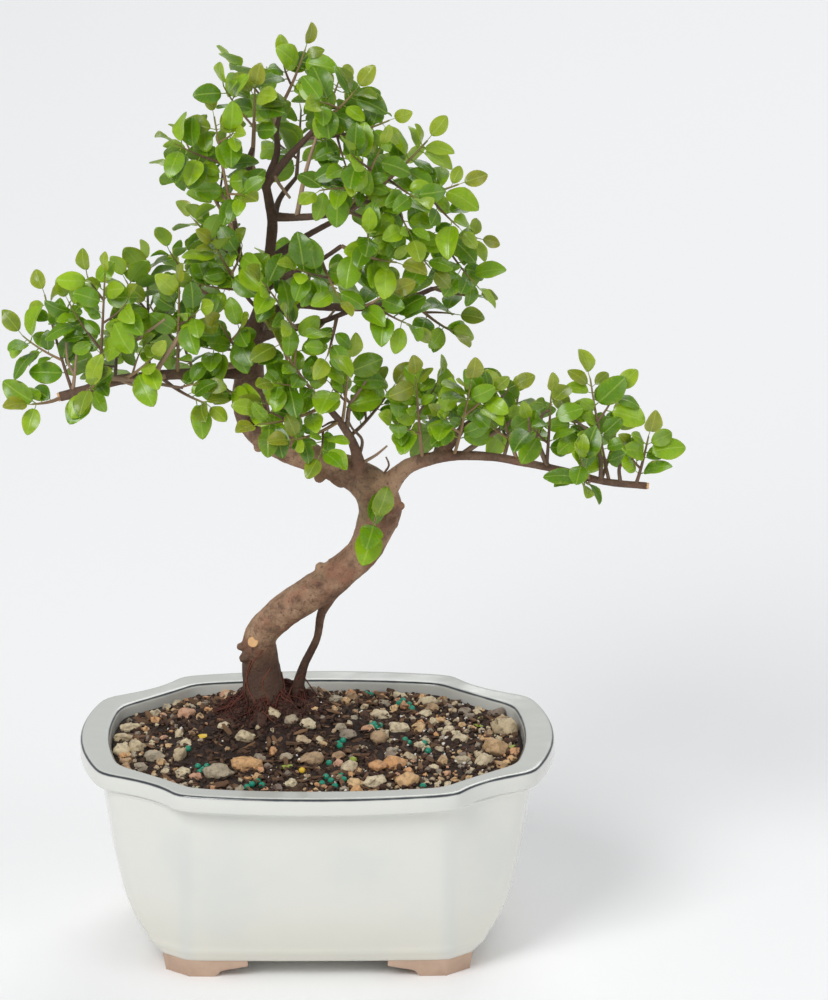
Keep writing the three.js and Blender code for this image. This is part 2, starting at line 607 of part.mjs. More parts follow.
// Balls along a curve that stand for its wood when other things are kept clear of it.
function woodBalls(curve, radiusAt, owner) {
  const steps = Math.ceil(curve.getLength() / WOOD_STEP);
  return Array.from({ length: steps + 1 }, (_, i) => (
    { centre: curve.getPointAt(i / steps), radius: radiusAt(i / steps), owner }
  ));
}

// A side twig from a shoot's stem, to a tip of its own or on one hand of the stem, in the plane
// that its leaves spread in.
function sideTwig(curve, outlook, share, hand, tip) {
  const base = curve.getPointAt(share);
  const tangent = curve.getTangentAt(share);
  const right = tangent.clone().cross(outlook).normalize();
  const turn = tip ? Math.sign(vec(...tip).sub(base).dot(right)) : hand;
  const size = Math.max(TWIG.leastLength, TWIG.size * curve.getLength() * (TWIG.fade - share));
  const ruled = base.clone().addScaledVector(tangent, TWIG.forward * size);
  ruled.addScaledVector(right, TWIG.sideways * turn * size).addScaledVector(outlook, TWIG.outward * size);
  const end = tip ? vec(...tip) : ruled;
  const pull = base.clone().lerp(end, 0.5).addScaledVector(right, TWIG.bow * turn * base.distanceTo(end));
  return { curve: new THREE.QuadraticBezierCurve3(base, pull, end), hand: turn };
}

// Every shoot's curves, its stem first and then the side twigs that have room.
function growShoots(bark) {
  const wood = Object.entries(LIMB_CURVES).flatMap(([name, curve]) => {
    const route = { trunk: TRUNK, ...LIMBS }[name];
    return woodBalls(curve, (share) => limbRadius(route, curve, share), name);
  });
  const axes = {};
  const newAxis = (curve, wanted) => {
    const room = Math.floor((curve.getLength() * (1 - SHOOT.firstLeaf)) / LEAF.spacing);
    return { curve, count: Math.max(1, Math.min(wanted, room)), leaves: [], twigs: [] };
  };
  for (const [name, shoot] of Object.entries(SHOOTS)) {
    axes[name] = [newAxis(stemCurve(shoot, bark), shoot[3])];
    wood.push(...woodBalls(axes[name][0].curve, () => SHOOT.baseRadius, axes[name][0]));
  }
  for (const [name, shoot] of Object.entries(SHOOTS)) {
    const [stem] = axes[name];
    const length = stem.curve.getLength();
    const ruled = TWIG_SITES.filter(([, from]) => length > from).map(([share]) => [share]);
    for (const [i, [share, tip]] of (SIDE_TWIGS[name] ?? ruled).entries()) {
      const firstHand = i % 2 === 0 ? -1 : 1;
      for (const turn of tip ? [firstHand] : [firstHand, -firstHand]) {
        const { curve, hand } = sideTwig(stem.curve, outlookOf(shoot), share, turn, tip);
        const twig = { ...newAxis(curve, tip ? TWIG.mostLeaves : TWIG.leaves), share, hand };
        const balls = woodBalls(curve, () => SHOOT.twigRadius, twig);
        const apart = (other) => other.owner !== stem || other.centre.distanceTo(curve.v0) > TWIG.rootZone;
        const blocked = balls.some((ball) => wood.some((other) => apart(other)
          && other.centre.distanceTo(ball.centre) < other.radius + TWIG.clear));
        if (!blocked) {
          stem.twigs.push(twig);
          axes[name].push(twig);
          wood.push(...balls);
          break;
        }
      }
    }
  }
  return { wood, axes };
}

// One leaf's place: where it joins the stem, its own axes, and its size, smaller the later it is.
function leafPlace({ curve, count }, outlook, index, later, random) {
  const share = mix(SHOOT.firstLeaf, 1, (index + 1) / count);
  const point = curve.getPointAt(share);
  const tangent = curve.getTangentAt(share);
  const hand = index % 2 === 0 ? 1 : -1;
  const side = tangent.clone().cross(outlook).normalize().multiplyScalar(hand);
  const last = index === count - 1;
  const swing = last ? mix(-POSE.tipSwing, POSE.tipSwing, random()) : mix(...POSE.swing, random());
  const lift = mix(...POSE.lift, random());
  const outward = side.clone().multiplyScalar(Math.cos(lift)).addScaledVector(outlook, Math.sin(lift));
  const direction = tangent.clone().multiplyScalar(Math.cos(swing)).addScaledVector(outward, Math.sin(swing));
  direction.z -= mix(0, POSE.droop, random());
  direction.normalize();
  const look = () => mix(-POSE.look, POSE.look, random());
  const facing = outlook.clone().add(vec(look(), look(), mix(POSE.lookDown, POSE.look, random())));
  const across = facing.cross(direction).normalize();
  const normal = direction.clone().cross(across);
  const young = (last ? LEAF.youngTip : 1) * (1 - LEAF.youngEnd * share ** 3);
  const length = LEAF.length * mix(...LEAF.sizes, random()) * young * (1 - LEAF.shrink * later);
  const width = length * LEAF.width * mix(...LEAF.widths, random());
  const flat = side.clone().multiplyScalar(Math.sqrt(3));
  flat.add(outlook.clone().projectOnPlane(tangent).normalize()).normalize();
  const [baseShare, baseWidth] = BLADE[0];
  const baseOut = (LEAF.petiole + baseShare * length) * direction.dot(flat);
  const baseClear = baseOut - baseWidth * 0.5 * width * Math.abs(across.dot(flat));
  const straight = last ? direction.dot(tangent) > 0.9 : baseClear > LEAF.baseClear;
  return { share, hand, point, direction, across, normal, length, width, straight };
}

// The boxes that a leaf fills from its stalk to its point, for keeping them clear of others.
function leafBoxes(leaf) {
  const box = (from, to, halfWidth, halfThickness, rise) => ({
    centre: leaf.point.clone()
      .addScaledVector(leaf.direction, (from + to) / 2)
      .addScaledVector(leaf.normal, rise),
    axes: [leaf.direction, leaf.across, leaf.normal],
    halves: [(to - from) / 2 + CLEARANCE, halfWidth * leaf.width + CLEARANCE, halfThickness + CLEARANCE],
  });
  const stalk = STALK_BOXES.map((sizes) => box(...sizes));
  const ends = [STALK_BOXES[1][1], POINT_FROM, 1].map((end, i) => (i ? LEAF.petiole + end * leaf.length : end));
  return [...stalk, ...BLADE_BOXES.map((sizes, i) => box(ends[i], ends[i + 1], ...sizes))];
}

function boxesMeet(a, b) {
  const apart = b.centre.clone().sub(a.centre);
  const separated = (axis) => {
    const span = (box) => box.axes.reduce((sum, own, i) => sum + box.halves[i] * Math.abs(own.dot(axis)), 0);
    return Math.abs(apart.dot(axis)) > span(a) + span(b);
  };
  const axes = [...a.axes, ...b.axes];
  for (const first of a.axes) {
    for (const second of b.axes) {
      const cross = first.clone().cross(second);
      if (cross.lengthSq() > 1e-6) {
        axes.push(cross.normalize());
      }
    }
  }
  return !axes.some(separated);
}

function ballMeetsBox({ centre, radius }, box) {
  const offset = centre.clone().sub(box.centre);
  const outside2 = box.axes.reduce((sum, axis, i) => {
    const excess = Math.max(0, Math.abs(offset.dot(axis)) - box.halves[i]);
    return sum + excess * excess;
  }, 0);
  return outside2 < radius * radius;
}

// Every leaf, from the tips of all shoots inward, clear of all wood and of all leaves before it.
function placeLeaves({ wood, axes }) {
  const sites = Object.entries(SHOOTS).flatMap(([name, shoot], shootIndex) => (
    axes[name].flatMap((axis, axisIndex) => Array.from({ length: axis.count }, (_, index) => (
      { axis, index, outlook: outlookOf(shoot), seed: shootIndex * 1013 + axisIndex * 211 + index * 17 })))));
  sites.sort((p, q) => (p.axis.count - p.index) - (q.axis.count - q.index));
  const boxes = [];
  for (const { axis, index, outlook, seed } of sites) {
    const stem = axis.curve.getLength();
    const random = seededRandom(SEED * 1009 + seed);
    for (let attempt = 0; attempt < TRIES; attempt += 1) {
      const leaf = leafPlace(axis, outlook, index, attempt / TRIES, random);
      const own = leafBoxes(leaf);
      const near = (other, reach) => own[2].centre.distanceTo(other) < leaf.length + reach;
      const open = axis.twigs.every((twig) => Math.abs(twig.share - leaf.share) * stem > LEAF.spacing);
      const wooden = () => wood.some((ball) => near(ball.centre, ball.radius)
        && own.some((box) => ballMeetsBox(ball, box))
        && !(ball.owner === axis && ball.centre.distanceTo(leaf.point) < SHOOT.rootZone));
      const leafy = () => boxes.some((other) => near(other.centre, LEAF.length)
        && own.some((box) => boxesMeet(box, other)));
      if (open && leaf.straight && !wooden() && !leafy()) {
        boxes.push(...own);
        axis.leaves.push(leaf);
        break;
      }
    }
  }
}

// The mesh of one leafy shoot, grown point by point as a single closed skin.
class Sprig {
  points = [];

  faces = [];

  add(point) {
    this.points.push(point);
    return this.points.length - 1;
  }

  // Zips two loops that both run counter-clockwise round a direction, the first one behind.
  bridge(back, fore, direction, across) {
    const up = direction.clone().cross(across).normalize();
    const turned = (loop) => {
      const centre = loop.reduce((sum, i) => sum.add(this.points[i]), vec(0, 0, 0)).divideScalar(loop.length);
      const angles = loop.map((i) => {
        const offset = this.points[i].clone().sub(centre);
        return Math.atan2(offset.dot(up), offset.dot(across));
      });
      const first = angles.indexOf(Math.min(...angles));
      return loop.map((_, k) => {
        const i = (first + k) % loop.length;
        return { index: loop[i], angle: angles[i] };
      });
    };
    const [a, b] = [turned(back), turned(fore)];
    const at = (loop, k) => loop[k % loop.length].index;
    const angleAt = (loop, k) => loop[k % loop.length].angle + 2 * Math.PI * Math.floor(k / loop.length);
    const middle = (loop, k) => angleAt(loop, k) + angleAt(loop, k + 1);
    let [i, j] = [0, 0];
    while (i < a.length || j < b.length) {
      if (j === b.length || (i < a.length && middle(a, i) < middle(b, j))) {
        this.faces.push(at(a, i), at(a, i + 1), at(b, j));
        i += 1;
      } else {
        this.faces.push(at(a, i), at(b, j + 1), at(b, j));
        j += 1;
      }
    }
  }

  ring(curve, share, radius, outlook) {
    const tangent = curve.getTangentAt(share);
    const { corners, side } = sectionAt(curve.getPointAt(share), tangent, outlook, radius);
    return { indices: corners.map((corner) => this.add(corner)), tangent, side };
  }

  // The stretch of stem between two rings. A flat that bears something gives it a small root
  // triangle next to the first ring.
  stretch(first, second, bearing) {
    const roots = {};
    for (let flat = 0; flat < 3; flat += 1) {
      const [a, b] = [first.indices[flat], first.indices[(flat + 1) % 3]];
      const [a2, b2] = [second.indices[flat], second.indices[(flat + 1) % 3]];
      if (bearing.includes(flat)) {
        const near = this.points[a].clone().add(this.points[b]).multiplyScalar(0.5);
        const far = this.points[a2].clone().add(this.points[b2]).multiplyScalar(0.5);
        const m = this.add(near.clone().lerp(far, Math.min(0.5, LEAF.foot / near.distanceTo(far))));
        this.faces.push(b, b2, m, b2, a2, m, a2, a, m);
        roots[flat] = [a, b, m];
      } else {
        this.faces.push(a, b, b2, a, b2, a2);
      }
    }
    return roots;
  }

  // A blade from its root loop to its tip, arched along its length.
  blade(root, leaf) {
    let loop = root;
    for (const [share, half, rise] of BLADE) {
      const reach = LEAF.petiole + share * leaf.length;
      const corner = (sideways, up) => this.add(leaf.point.clone()
        .addScaledVector(leaf.direction, reach)
        .addScaledVector(leaf.across, sideways)
        .addScaledVector(leaf.normal, rise * leaf.length + up));
      const [side, t] = [half * leaf.width * 0.5, LEAF.thickness / 2];
      if (half === 0) {
        const tip = corner(0, 0);
        loop.forEach((index, i) => this.faces.push(index, loop[(i + 1) % loop.length], tip));
      } else {
        const next = [corner(-side, -t), corner(side, -t), corner(side, t), corner(-side, t)];
        this.bridge(loop, next, leaf.direction, leaf.across);
        loop = next;
      }
    }
  }

  // A stem with its leaves, from a root loop or from a cap of its own.
  stem(axis, outlook, radius, root = null) {
    const { curve, leaves, twigs } = axis;
    const bearers = [...leaves.map((leaf) => ({ leaf, ...leaf })), ...twigs.map((twig) => ({ twig, ...twig }))];
    bearers.sort((p, q) => p.share - q.share);
    const radiusAt = (share) => mix(radius, SHOOT.tipRadius, share);
    const laterals = bearers.filter(({ share }) => share < 1);
    let current = this.ring(curve, root ? TWIG.firstRing / curve.getLength() : 0, radiusAt(0), outlook);
    if (root) {
      this.bridge(root, current.indices, current.tangent, current.side);
    } else {
      this.faces.push(...[...current.indices].reverse());
    }
    let waiting = null;
    for (const bearer of laterals) {
      const next = this.ring(curve, bearer.share, radiusAt(bearer.share), outlook);
      this.grow(current, next, waiting, outlook);
      [current, waiting] = [next, bearer];
    }
    const end = this.ring(curve, 1, SHOOT.tipRadius, outlook);
    this.grow(current, end, waiting, outlook);
    const last = bearers.find(({ share }) => share === 1);
    if (last) {
      this.blade(end.indices, last.leaf);
    } else {
      this.faces.push(...end.indices);
    }
  }

  grow(from, to, bearer, outlook) {
    const flat = bearer && bearer.hand > 0 ? 1 : 0;
    const roots = this.stretch(from, to, bearer ? [flat] : []);
    if (bearer && bearer.leaf) {
      this.blade(roots[flat], bearer.leaf);
    } else if (bearer) {
      this.stem(bearer.twig, outlook, SHOOT.twigRadius, roots[flat]);
    }
  }

  solid() {
    const geometry = new THREE.BufferGeometry().setFromPoints(this.points);
    geometry.setIndex(this.faces);
    return toSolid(geometry);
  }
}

// The object

const FINISHES = {
  glaze: new THREE.MeshStandardMaterial({ name: 'glaze', color: 0xdfe5e0, roughness: 0.18, metalness: 0 }),
  screen: new THREE.MeshStandardMaterial({ name: 'plastic', color: 0x2f3a36, roughness: 0.6, metalness: 0 }),
  soil: new THREE.MeshStandardMaterial({ name: 'soil', color: 0x3a2c22, roughness: 0.95, metalness: 0 }),
  bark: new THREE.MeshStandardMaterial({ name: 'bark', color: 0x77604a, roughness: 0.85, metalness: 0 }),
  leaf: new THREE.MeshStandardMaterial({ name: 'leaf', color: 0x4f7a34, roughness: 0.4, metalness: 0 }),
};

const bonsai = new THREE.Group();

function addPart(name, solid, material) {
  const mesh = new THREE.Mesh(toGeometry(solid), material);
  mesh.name = name;
  bonsai.add(mesh);
}

addPart('pot', pot(), FINISHES.glaze);
addPart('drain_screen_left', drainScreen(-POT.drainOffset), FINISHES.screen);
addPart('drain_screen_right', drainScreen(POT.drainOffset), FINISHES.screen);
addPart('soil', soil(), FINISHES.soil);
const wood = tree();
addPart('trunk', wood, FINISHES.bark);
const shoots = growShoots(toGeometry(wood));
placeLeaves(shoots);
for (const [name, [axis]] of Object.entries(shoots.axes)) {
  const sprig = new Sprig();
  sprig.stem(axis, outlookOf(SHOOTS[name]), SHOOT.baseRadius);
  addPart(`shoot_${name}`, sprig.solid(), FINISHES.leaf);
}

const extent = new THREE.Box3().setFromObject(bonsai);
const middle = extent.getCenter(vec(0, 0, 0));
bonsai.position.set(-middle.x, -middle.y, -extent.min.z);

export default bonsai;
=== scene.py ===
"""Chinese sweet plum bonsai in a glazed pot: the dressed model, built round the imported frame.

Lengths are millimetres from the middle of the pot, with the feet on z = 0, and they turn into the
frame's metres where a mesh is made.
"""
import logging
import math
from dataclasses import dataclass, field
from enum import Enum
from functools import cached_property
from typing import Callable, Iterable, Sequence

import bmesh
import bpy
import numpy as np
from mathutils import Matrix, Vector
from mathutils.bvhtree import BVHTree
from mathutils.kdtree import KDTree


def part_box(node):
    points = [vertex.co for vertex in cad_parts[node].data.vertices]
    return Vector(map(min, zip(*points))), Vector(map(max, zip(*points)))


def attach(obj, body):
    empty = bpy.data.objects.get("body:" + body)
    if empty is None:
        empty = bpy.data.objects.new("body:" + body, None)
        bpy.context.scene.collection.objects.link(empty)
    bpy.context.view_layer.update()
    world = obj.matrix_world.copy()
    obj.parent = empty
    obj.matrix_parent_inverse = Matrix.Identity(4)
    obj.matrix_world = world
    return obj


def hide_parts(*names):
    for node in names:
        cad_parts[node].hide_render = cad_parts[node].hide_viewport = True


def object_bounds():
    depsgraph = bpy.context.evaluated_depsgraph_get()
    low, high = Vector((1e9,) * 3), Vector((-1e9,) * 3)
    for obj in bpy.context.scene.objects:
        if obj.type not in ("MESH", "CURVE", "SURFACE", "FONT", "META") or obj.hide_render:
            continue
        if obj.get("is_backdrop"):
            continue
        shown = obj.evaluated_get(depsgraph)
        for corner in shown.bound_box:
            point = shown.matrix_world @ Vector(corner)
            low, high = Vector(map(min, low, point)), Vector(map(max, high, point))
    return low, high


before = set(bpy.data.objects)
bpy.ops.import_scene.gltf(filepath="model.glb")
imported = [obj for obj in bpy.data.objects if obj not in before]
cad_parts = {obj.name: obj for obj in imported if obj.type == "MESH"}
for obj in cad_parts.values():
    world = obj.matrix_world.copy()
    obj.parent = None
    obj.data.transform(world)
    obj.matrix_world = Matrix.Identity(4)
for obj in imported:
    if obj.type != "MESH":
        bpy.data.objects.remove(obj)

LOG = logging.getLogger("bonsai")
CAD_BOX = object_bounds()
ROOT_BODY = "root"
MM = 0.001
POT_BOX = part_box("pot")
POT_MIDDLE = Vector(((POT_BOX[0][0] + POT_BOX[1][0]) / 2, (POT_BOX[0][1] + POT_BOX[1][1]) / 2, 0.0))

Point = Sequence[float]
Colour = tuple[float, ...]
Pair = tuple[float, float]
Place = tuple[float, float, float]
Four = tuple[float, float, float, float]
Array = np.ndarray
Object = bpy.types.Object
Material = bpy.types.Material
Socket = bpy.types.NodeSocket


class Slot(Enum):
    """The record's material slots, which hand_over is given but doesn't use."""

    GLAZE = "glaze"
    SOIL = "soil"
    BARK = "bark"
    LEAF = "leaf"


def to_frame(point: Point) -> Vector:
    """Turns millimetres from the middle of the pot into the frame's metres."""
    return Vector(point) * MM + POT_MIDDLE


def to_pot(point: Point) -> Vector:
    """Turns a place in the frame's metres into millimetres from the middle of the pot."""
    return (Vector(point) - POT_MIDDLE) / MM


def mix(low: float, high: float, share: float) -> float:
    """Returns the value at a share of the way from low to high."""
    return low + (high - low) * share


def linear(red: float, green: float, blue: float) -> Colour:
    """Returns a colour on sockets from its 0 to 255 screen values."""
    values = [channel / 255 for channel in (red, green, blue)]
    return (*[v / 12.92 if v < 0.04045 else ((v + 0.055) / 1.055) ** 2.4 for v in values], 1.0)


def placed(name: str, data: bpy.types.ID | None) -> Object:
    """Makes an object of some data at the origin and links it to the scene."""
    made = bpy.data.objects.new(name, data)
    bpy.context.scene.collection.objects.link(made)
    return made


def new_mesh_object(name: str, points: Iterable[Point], faces: Iterable[Sequence[int]],
                    edges: Iterable[Sequence[int]] = (), smooth: bool = True) -> Object:
    """Makes a linked mesh object at the origin.

    Args:
        name: The object's name.
        points: Places in millimetres from the middle of the pot.
        faces: Index lists, counter-clockwise from outside.
        edges: Index pairs for bare lines.
        smooth: Whether faces shade smoothly.

    Returns:
        The new object.
    """
    mesh = bpy.data.meshes.new(name)
    mesh.from_pydata([to_frame(p) for p in points], list(edges), list(faces))
    if smooth:
        mesh.shade_smooth()
    else:
        mesh.shade_flat()
    return placed(name, mesh)


def store(mesh: bpy.types.Mesh, name: str, kind: str, values: Sequence, domain: str = "POINT") -> None:
    """Stores one named attribute on a mesh.

    Args:
        mesh: The mesh that gets it.
        name: The attribute's name.
        kind: FLOAT, FLOAT_VECTOR or BOOLEAN.
        values: One value for each element.
        domain: The elements that carry it.
    """
    attribute = mesh.attributes.new(name, kind, domain)
    key = "vector" if kind == "FLOAT_VECTOR" else "value"
    number = bool if kind == "BOOLEAN" else np.float32
    attribute.data.foreach_set(key, np.asarray(values, dtype=number).ravel())


def baked(piece: Object) -> Object:
    """Turns a piece with its modifiers into a plain mesh, and removes the modifiers."""
    depsgraph = bpy.context.evaluated_depsgraph_get()
    mesh = bpy.data.meshes.new_from_object(
        piece.evaluated_get(depsgraph), preserve_all_data_layers=True, depsgraph=depsgraph)
    piece.modifiers.clear()
    old = piece.data
    piece.data = mesh
    mesh.name = piece.name
    bpy.data.meshes.remove(old)
    return piece


def surface_of(piece: Object) -> BVHTree:
    """Returns a piece's surface for finding where lines meet it."""
    return BVHTree.FromPolygons([vertex.co for vertex in piece.data.vertices],
                                [face.vertices for face in piece.data.polygons])


def hand_over(piece: Object, slot: Slot, *nodes: str) -> Object:
    """Ties a finished piece to the frame.

    Args:
        piece: The piece, with its place in its mesh.
        slot: Not used.
        nodes: The CAD nodes that it stands for.

    Returns:
        The piece.
    """
    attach(piece, ROOT_BODY)
    if nodes:
        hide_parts(*nodes)
    LOG.info("%s: %d faces", piece.name, len(piece.data.polygons))
    return piece


Value = Socket | float | int | bool | tuple | bpy.types.ID | None


class Graph:
    """A node tree that grows by one call for each node."""

    def __init__(self, tree: bpy.types.NodeTree) -> None:
        """Starts on an empty tree."""
        self.tree = tree
        tree.nodes.clear()

    def node(self, kind: str, inputs: dict[str | int, Value] | None = None,
             **settings: object) -> bpy.types.Node:
        """Adds a node.

        Args:
            kind: Its type.
            inputs: What goes into its sockets, by name or place, as values or as other sockets.
            settings: Its own properties.

        Returns:
            The node.
        """
        made = self.tree.nodes.new(kind)
        for key, value in settings.items():
            setattr(made, key, value)
        for key, value in (inputs or {}).items():
            if isinstance(value, Socket):
                self.tree.links.new(value, made.inputs[key])
            elif value is not None:
                made.inputs[key].default_value = value
        return made

    def _operation(self, kind: str, operation: str, values: Sequence[Value], output: int) -> Socket:
        """Adds a node of a math kind and returns one of its outputs."""
        return self.node(kind, dict(enumerate(values)), operation=operation).outputs[output]

    def math(self, operation: str, *values: Value) -> Socket:
        """Adds a Math node and returns its result."""
        return self._operation("ShaderNodeMath", operation, values, 0)

    def times(self, value: Value, size: Value) -> Socket:
        """Returns one number times another."""
        return self.math("MULTIPLY", value, size)

    def plus(self, value: Value, other: Value) -> Socket:
        """Returns the sum of two numbers."""
        return self.math("ADD", value, other)

    def less(self, value: Value, other: Value) -> Socket:
        """Returns a number less another."""
        return self.math("SUBTRACT", value, other)

    def vector(self, operation: str, *values: Value) -> Socket:
        """Adds a Vector Math node and returns the vector that it makes."""
        return self._operation("ShaderNodeVectorMath", operation, values, 0)

    def measure(self, operation: str, *vectors: Value) -> Socket:
        """Adds a Vector Math node and returns the number that it makes."""
        return self._operation("ShaderNodeVectorMath", operation, vectors, 1)

    def bell(self, value: Value, fall: float) -> Socket:
        """Returns 1 where a number is 0, and less the further it is from it."""
        return self.math("EXPONENT", self.times(self.math("POWER", value, 2.0), -fall))

    def scaled(self, vector: Value, size: Value) -> Socket:
        """Returns a vector times a number."""
        return self.node("ShaderNodeVectorMath", {0: vector, "Scale": size}, operation="SCALE").outputs[0]

    def axes(self, vector: Value) -> list[Socket]:
        """Returns a vector's x, y and z."""
        return list(self.node("ShaderNodeSeparateXYZ", {0: vector}).outputs)

    def smooth(self, value: Value, low: float, high: float) -> Socket:
        """Returns 0 below low and 1 above high, with a soft step between them."""
        return self.node("ShaderNodeMapRange", {"Value": value, "From Min": low, "From Max": high},
                         interpolation_type="SMOOTHSTEP").outputs["Result"]

    def noise(self, place: Value, scale: float, detail: float = 2.0, roughness: float = 0.5) -> Socket:
        """Returns noise from 0 to 1 with a scale in cells for each metre."""
        return self.node("ShaderNodeTexNoise", {
            "Vector": place, "Scale": scale, "Detail": detail, "Roughness": roughness}).outputs[0]


class Recipe(Graph):
    """A Geometry Nodes tree with named inputs."""

    def __init__(self, name: str) -> None:
        """Starts a tree that takes geometry in and gives geometry out."""
        super().__init__(bpy.data.node_groups.new(name, "GeometryNodeTree"))
        self.identifiers: dict[str, str] = {}
        self.tree.interface.new_socket("Geometry", in_out="INPUT", socket_type="NodeSocketGeometry")
        self.tree.interface.new_socket("Geometry", in_out="OUTPUT", socket_type="NodeSocketGeometry")
        self.source = self.node("NodeGroupInput")
        self.drain = self.node("NodeGroupOutput")

    def input(self, name: str, kind: str = "Float") -> Socket:
        """Adds a named input and returns its socket."""
        made = self.tree.interface.new_socket(name, in_out="INPUT", socket_type=f"NodeSocket{kind}")
        self.identifiers[name] = made.identifier
        return self.source.outputs[name]

    def attribute(self, name: str, kind: str = "FLOAT") -> Socket:
        """Returns a stored attribute."""
        return self.node("GeometryNodeInputNamedAttribute", {"Name": name}, data_type=kind).outputs[0]

    def arrow(self, name: str) -> Socket:
        """Returns a stored vector."""
        return self.attribute(name, "FLOAT_VECTOR")

    def position(self) -> Socket:
        """Returns the place of each point."""
        return self.node("GeometryNodeInputPosition").outputs[0]

    def marked(self, geometry: Value, name: str, value: Value, kind: str = "FLOAT") -> Socket:
        """Stores a value on each point."""
        return self.node("GeometryNodeStoreNamedAttribute", {
            "Geometry": geometry, "Name": name, "Value": value}, data_type=kind, domain="POINT").outputs[0]

    def moved(self, geometry: Value, how: str, value: Value) -> Socket:
        """Moves each point by an Offset or to a Position."""
        return self.node("GeometryNodeSetPosition", {"Geometry": geometry, how: value}).outputs[0]

    def real(self, geometry: Value) -> Socket:
        """Turns instances into a mesh."""
        return self.node("GeometryNodeRealizeInstances", {0: geometry}).outputs[0]

    def finish(self, geometry: Value, *coats: tuple[Value, Value]) -> "Recipe":
        """Ends the tree with Realize Instances and Set Material.

        Args:
            geometry: What the tree has made.
            coats: Each material with the faces that it goes on, or None for all of them.

        Returns:
            The recipe itself.
        """
        last = self.real(geometry)
        for material, faces in coats:
            last = self.node("GeometryNodeSetMaterial", {
                "Geometry": last, "Material": material, "Selection": faces}).outputs[0]
        self.tree.links.new(last, self.drain.inputs[0])
        return self

    def apply(self, piece: Object, **values: object) -> Object:
        """Runs the tree on a piece and keeps the result as its mesh.

        Args:
            piece: The object whose mesh goes in.
            values: The tree's inputs, with spaces in their names written as underscores.

        Returns:
            The piece.
        """
        modifier = piece.modifiers.new(self.tree.name, "NODES")
        modifier.node_group = self.tree
        for name, value in values.items():
            modifier[self.identifiers[name.replace("_", " ")]] = value
        return baked(piece)


class Shader(Graph):
    """A material's tree round one Principled shader."""

    def __init__(self, name: str, roughness: float, **sockets: Value) -> None:
        """Makes the material.

        Args:
            name: The material's name.
            roughness: Its even roughness.
            sockets: Even values for the shader's sockets, with spaces in names as underscores.
        """
        self.material = bpy.data.materials.new(name)
        self.material.use_nodes = True
        super().__init__(self.material.node_tree)
        even = {key.replace("_", " "): value for key, value in sockets.items()}
        self.shader = self.node("ShaderNodeBsdfPrincipled", {"Roughness": roughness, **even})
        end = self.node("ShaderNodeOutputMaterial", {"Surface": self.shader.outputs[0]})
        end.is_active_output = True

    def place(self) -> Socket:
        """Returns the place on the object, in metres."""
        return self.node("ShaderNodeTexCoord").outputs["Object"]

    def attribute(self, name: str, output: str = "Fac") -> Socket:
        """Returns a stored attribute, as a number or as a colour."""
        return self.node("ShaderNodeAttribute", attribute_name=name).outputs[output]

    def blend(self, share: Value, first: Value, second: Value, mode: str = "MIX") -> Socket:
        """Mixes two colours."""
        made = self.node("ShaderNodeMix", {0: share, 6: first, 7: second}, data_type="RGBA", blend_type=mode)
        return made.outputs[2]

    def ramp(self, value: Value, *stops: tuple[float, Colour]) -> Socket:
        """Turns a number into a colour through stops of place and colour."""
        made = self.node("ShaderNodeValToRGB", {0: value})
        elements = made.color_ramp.elements
        while len(elements) < len(stops):
            elements.new(0.5)
        for element, (position, colour) in zip(elements, stops):
            element.position = position
            element.color = colour
        return made.outputs[0]

    def colour(self, value: Value) -> None:
        """Gives the shader its base colour."""
        self.tree.links.new(value, self.shader.inputs["Base Color"])

    def rough(self, value: Value) -> None:
        """Gives the shader a roughness that varies."""
        self.tree.links.new(value, self.shader.inputs["Roughness"])

    def bump(self, height: Value, depth: float) -> None:
        """Adds fine relief of a depth in millimetres."""
        made = self.node("ShaderNodeBump", {"Height": height, "Distance": depth * MM, "Strength": 1.0})
        self.tree.links.new(made.outputs[0], self.shader.inputs["Normal"])


@dataclass(frozen=True)
class GlazeFinish:
    """A pale, glossy, slightly pooled glaze with dark broken lines where it thins on the rim, and painted
    shade on and under the rim.
    """

    body: Colour = linear(223, 223, 216)
    warm: Colour = linear(222, 219, 206)
    cool: Colour = linear(210, 213, 209)
    lip: Colour = linear(200, 202, 196)
    line: Colour = linear(58, 63, 68)

    def build(self) -> Material:
        """Returns the material."""
        s = Shader("Glaze", 0.16, IOR=1.5, Coat_Weight=0.35, Coat_Roughness=0.06)
        place = s.place()
        cloud = s.noise(place, 28.0, 3.0)
        height = s.axes(place)[2]
        low = s.less(1.0, s.smooth(height, 0.008, 0.05))
        base = s.blend(s.times(low, 0.8), self.body, self.warm)
        base = s.blend(s.times(s.smooth(cloud, 0.45, 0.75), 0.4), base, self.cool)
        base = s.blend(s.attribute("pooled"), base, self.cool)
        # painted shade: the rim, the neck under it and the inside of the mouth are blended towards a greyer
        # tone
        base = s.blend(s.times(s.attribute("lip"), 0.75), base, self.lip)
        broken = s.plus(s.attribute("line"), s.times(s.noise(place, 110.0, 4.0), 0.5))
        s.colour(s.blend(s.smooth(broken, 0.5, 1.15), base, self.line))
        s.bump(s.noise(place, 55.0, 2.0), 0.35)
        return s.material


@dataclass(frozen=True)
class ClayFinish:
    """Bare, fired, pinkish clay."""

    light: Colour = linear(210, 182, 160)
    dark: Colour = linear(172, 144, 124)

    def build(self) -> Material:
        """Returns the material."""
        s = Shader("Bare clay", 0.85)
        place = s.place()
        s.colour(s.blend(s.noise(place, 90.0, 5.0, 0.6), self.dark, self.light))
        s.bump(s.noise(place, 700.0, 3.0), 0.25)
        return s.material


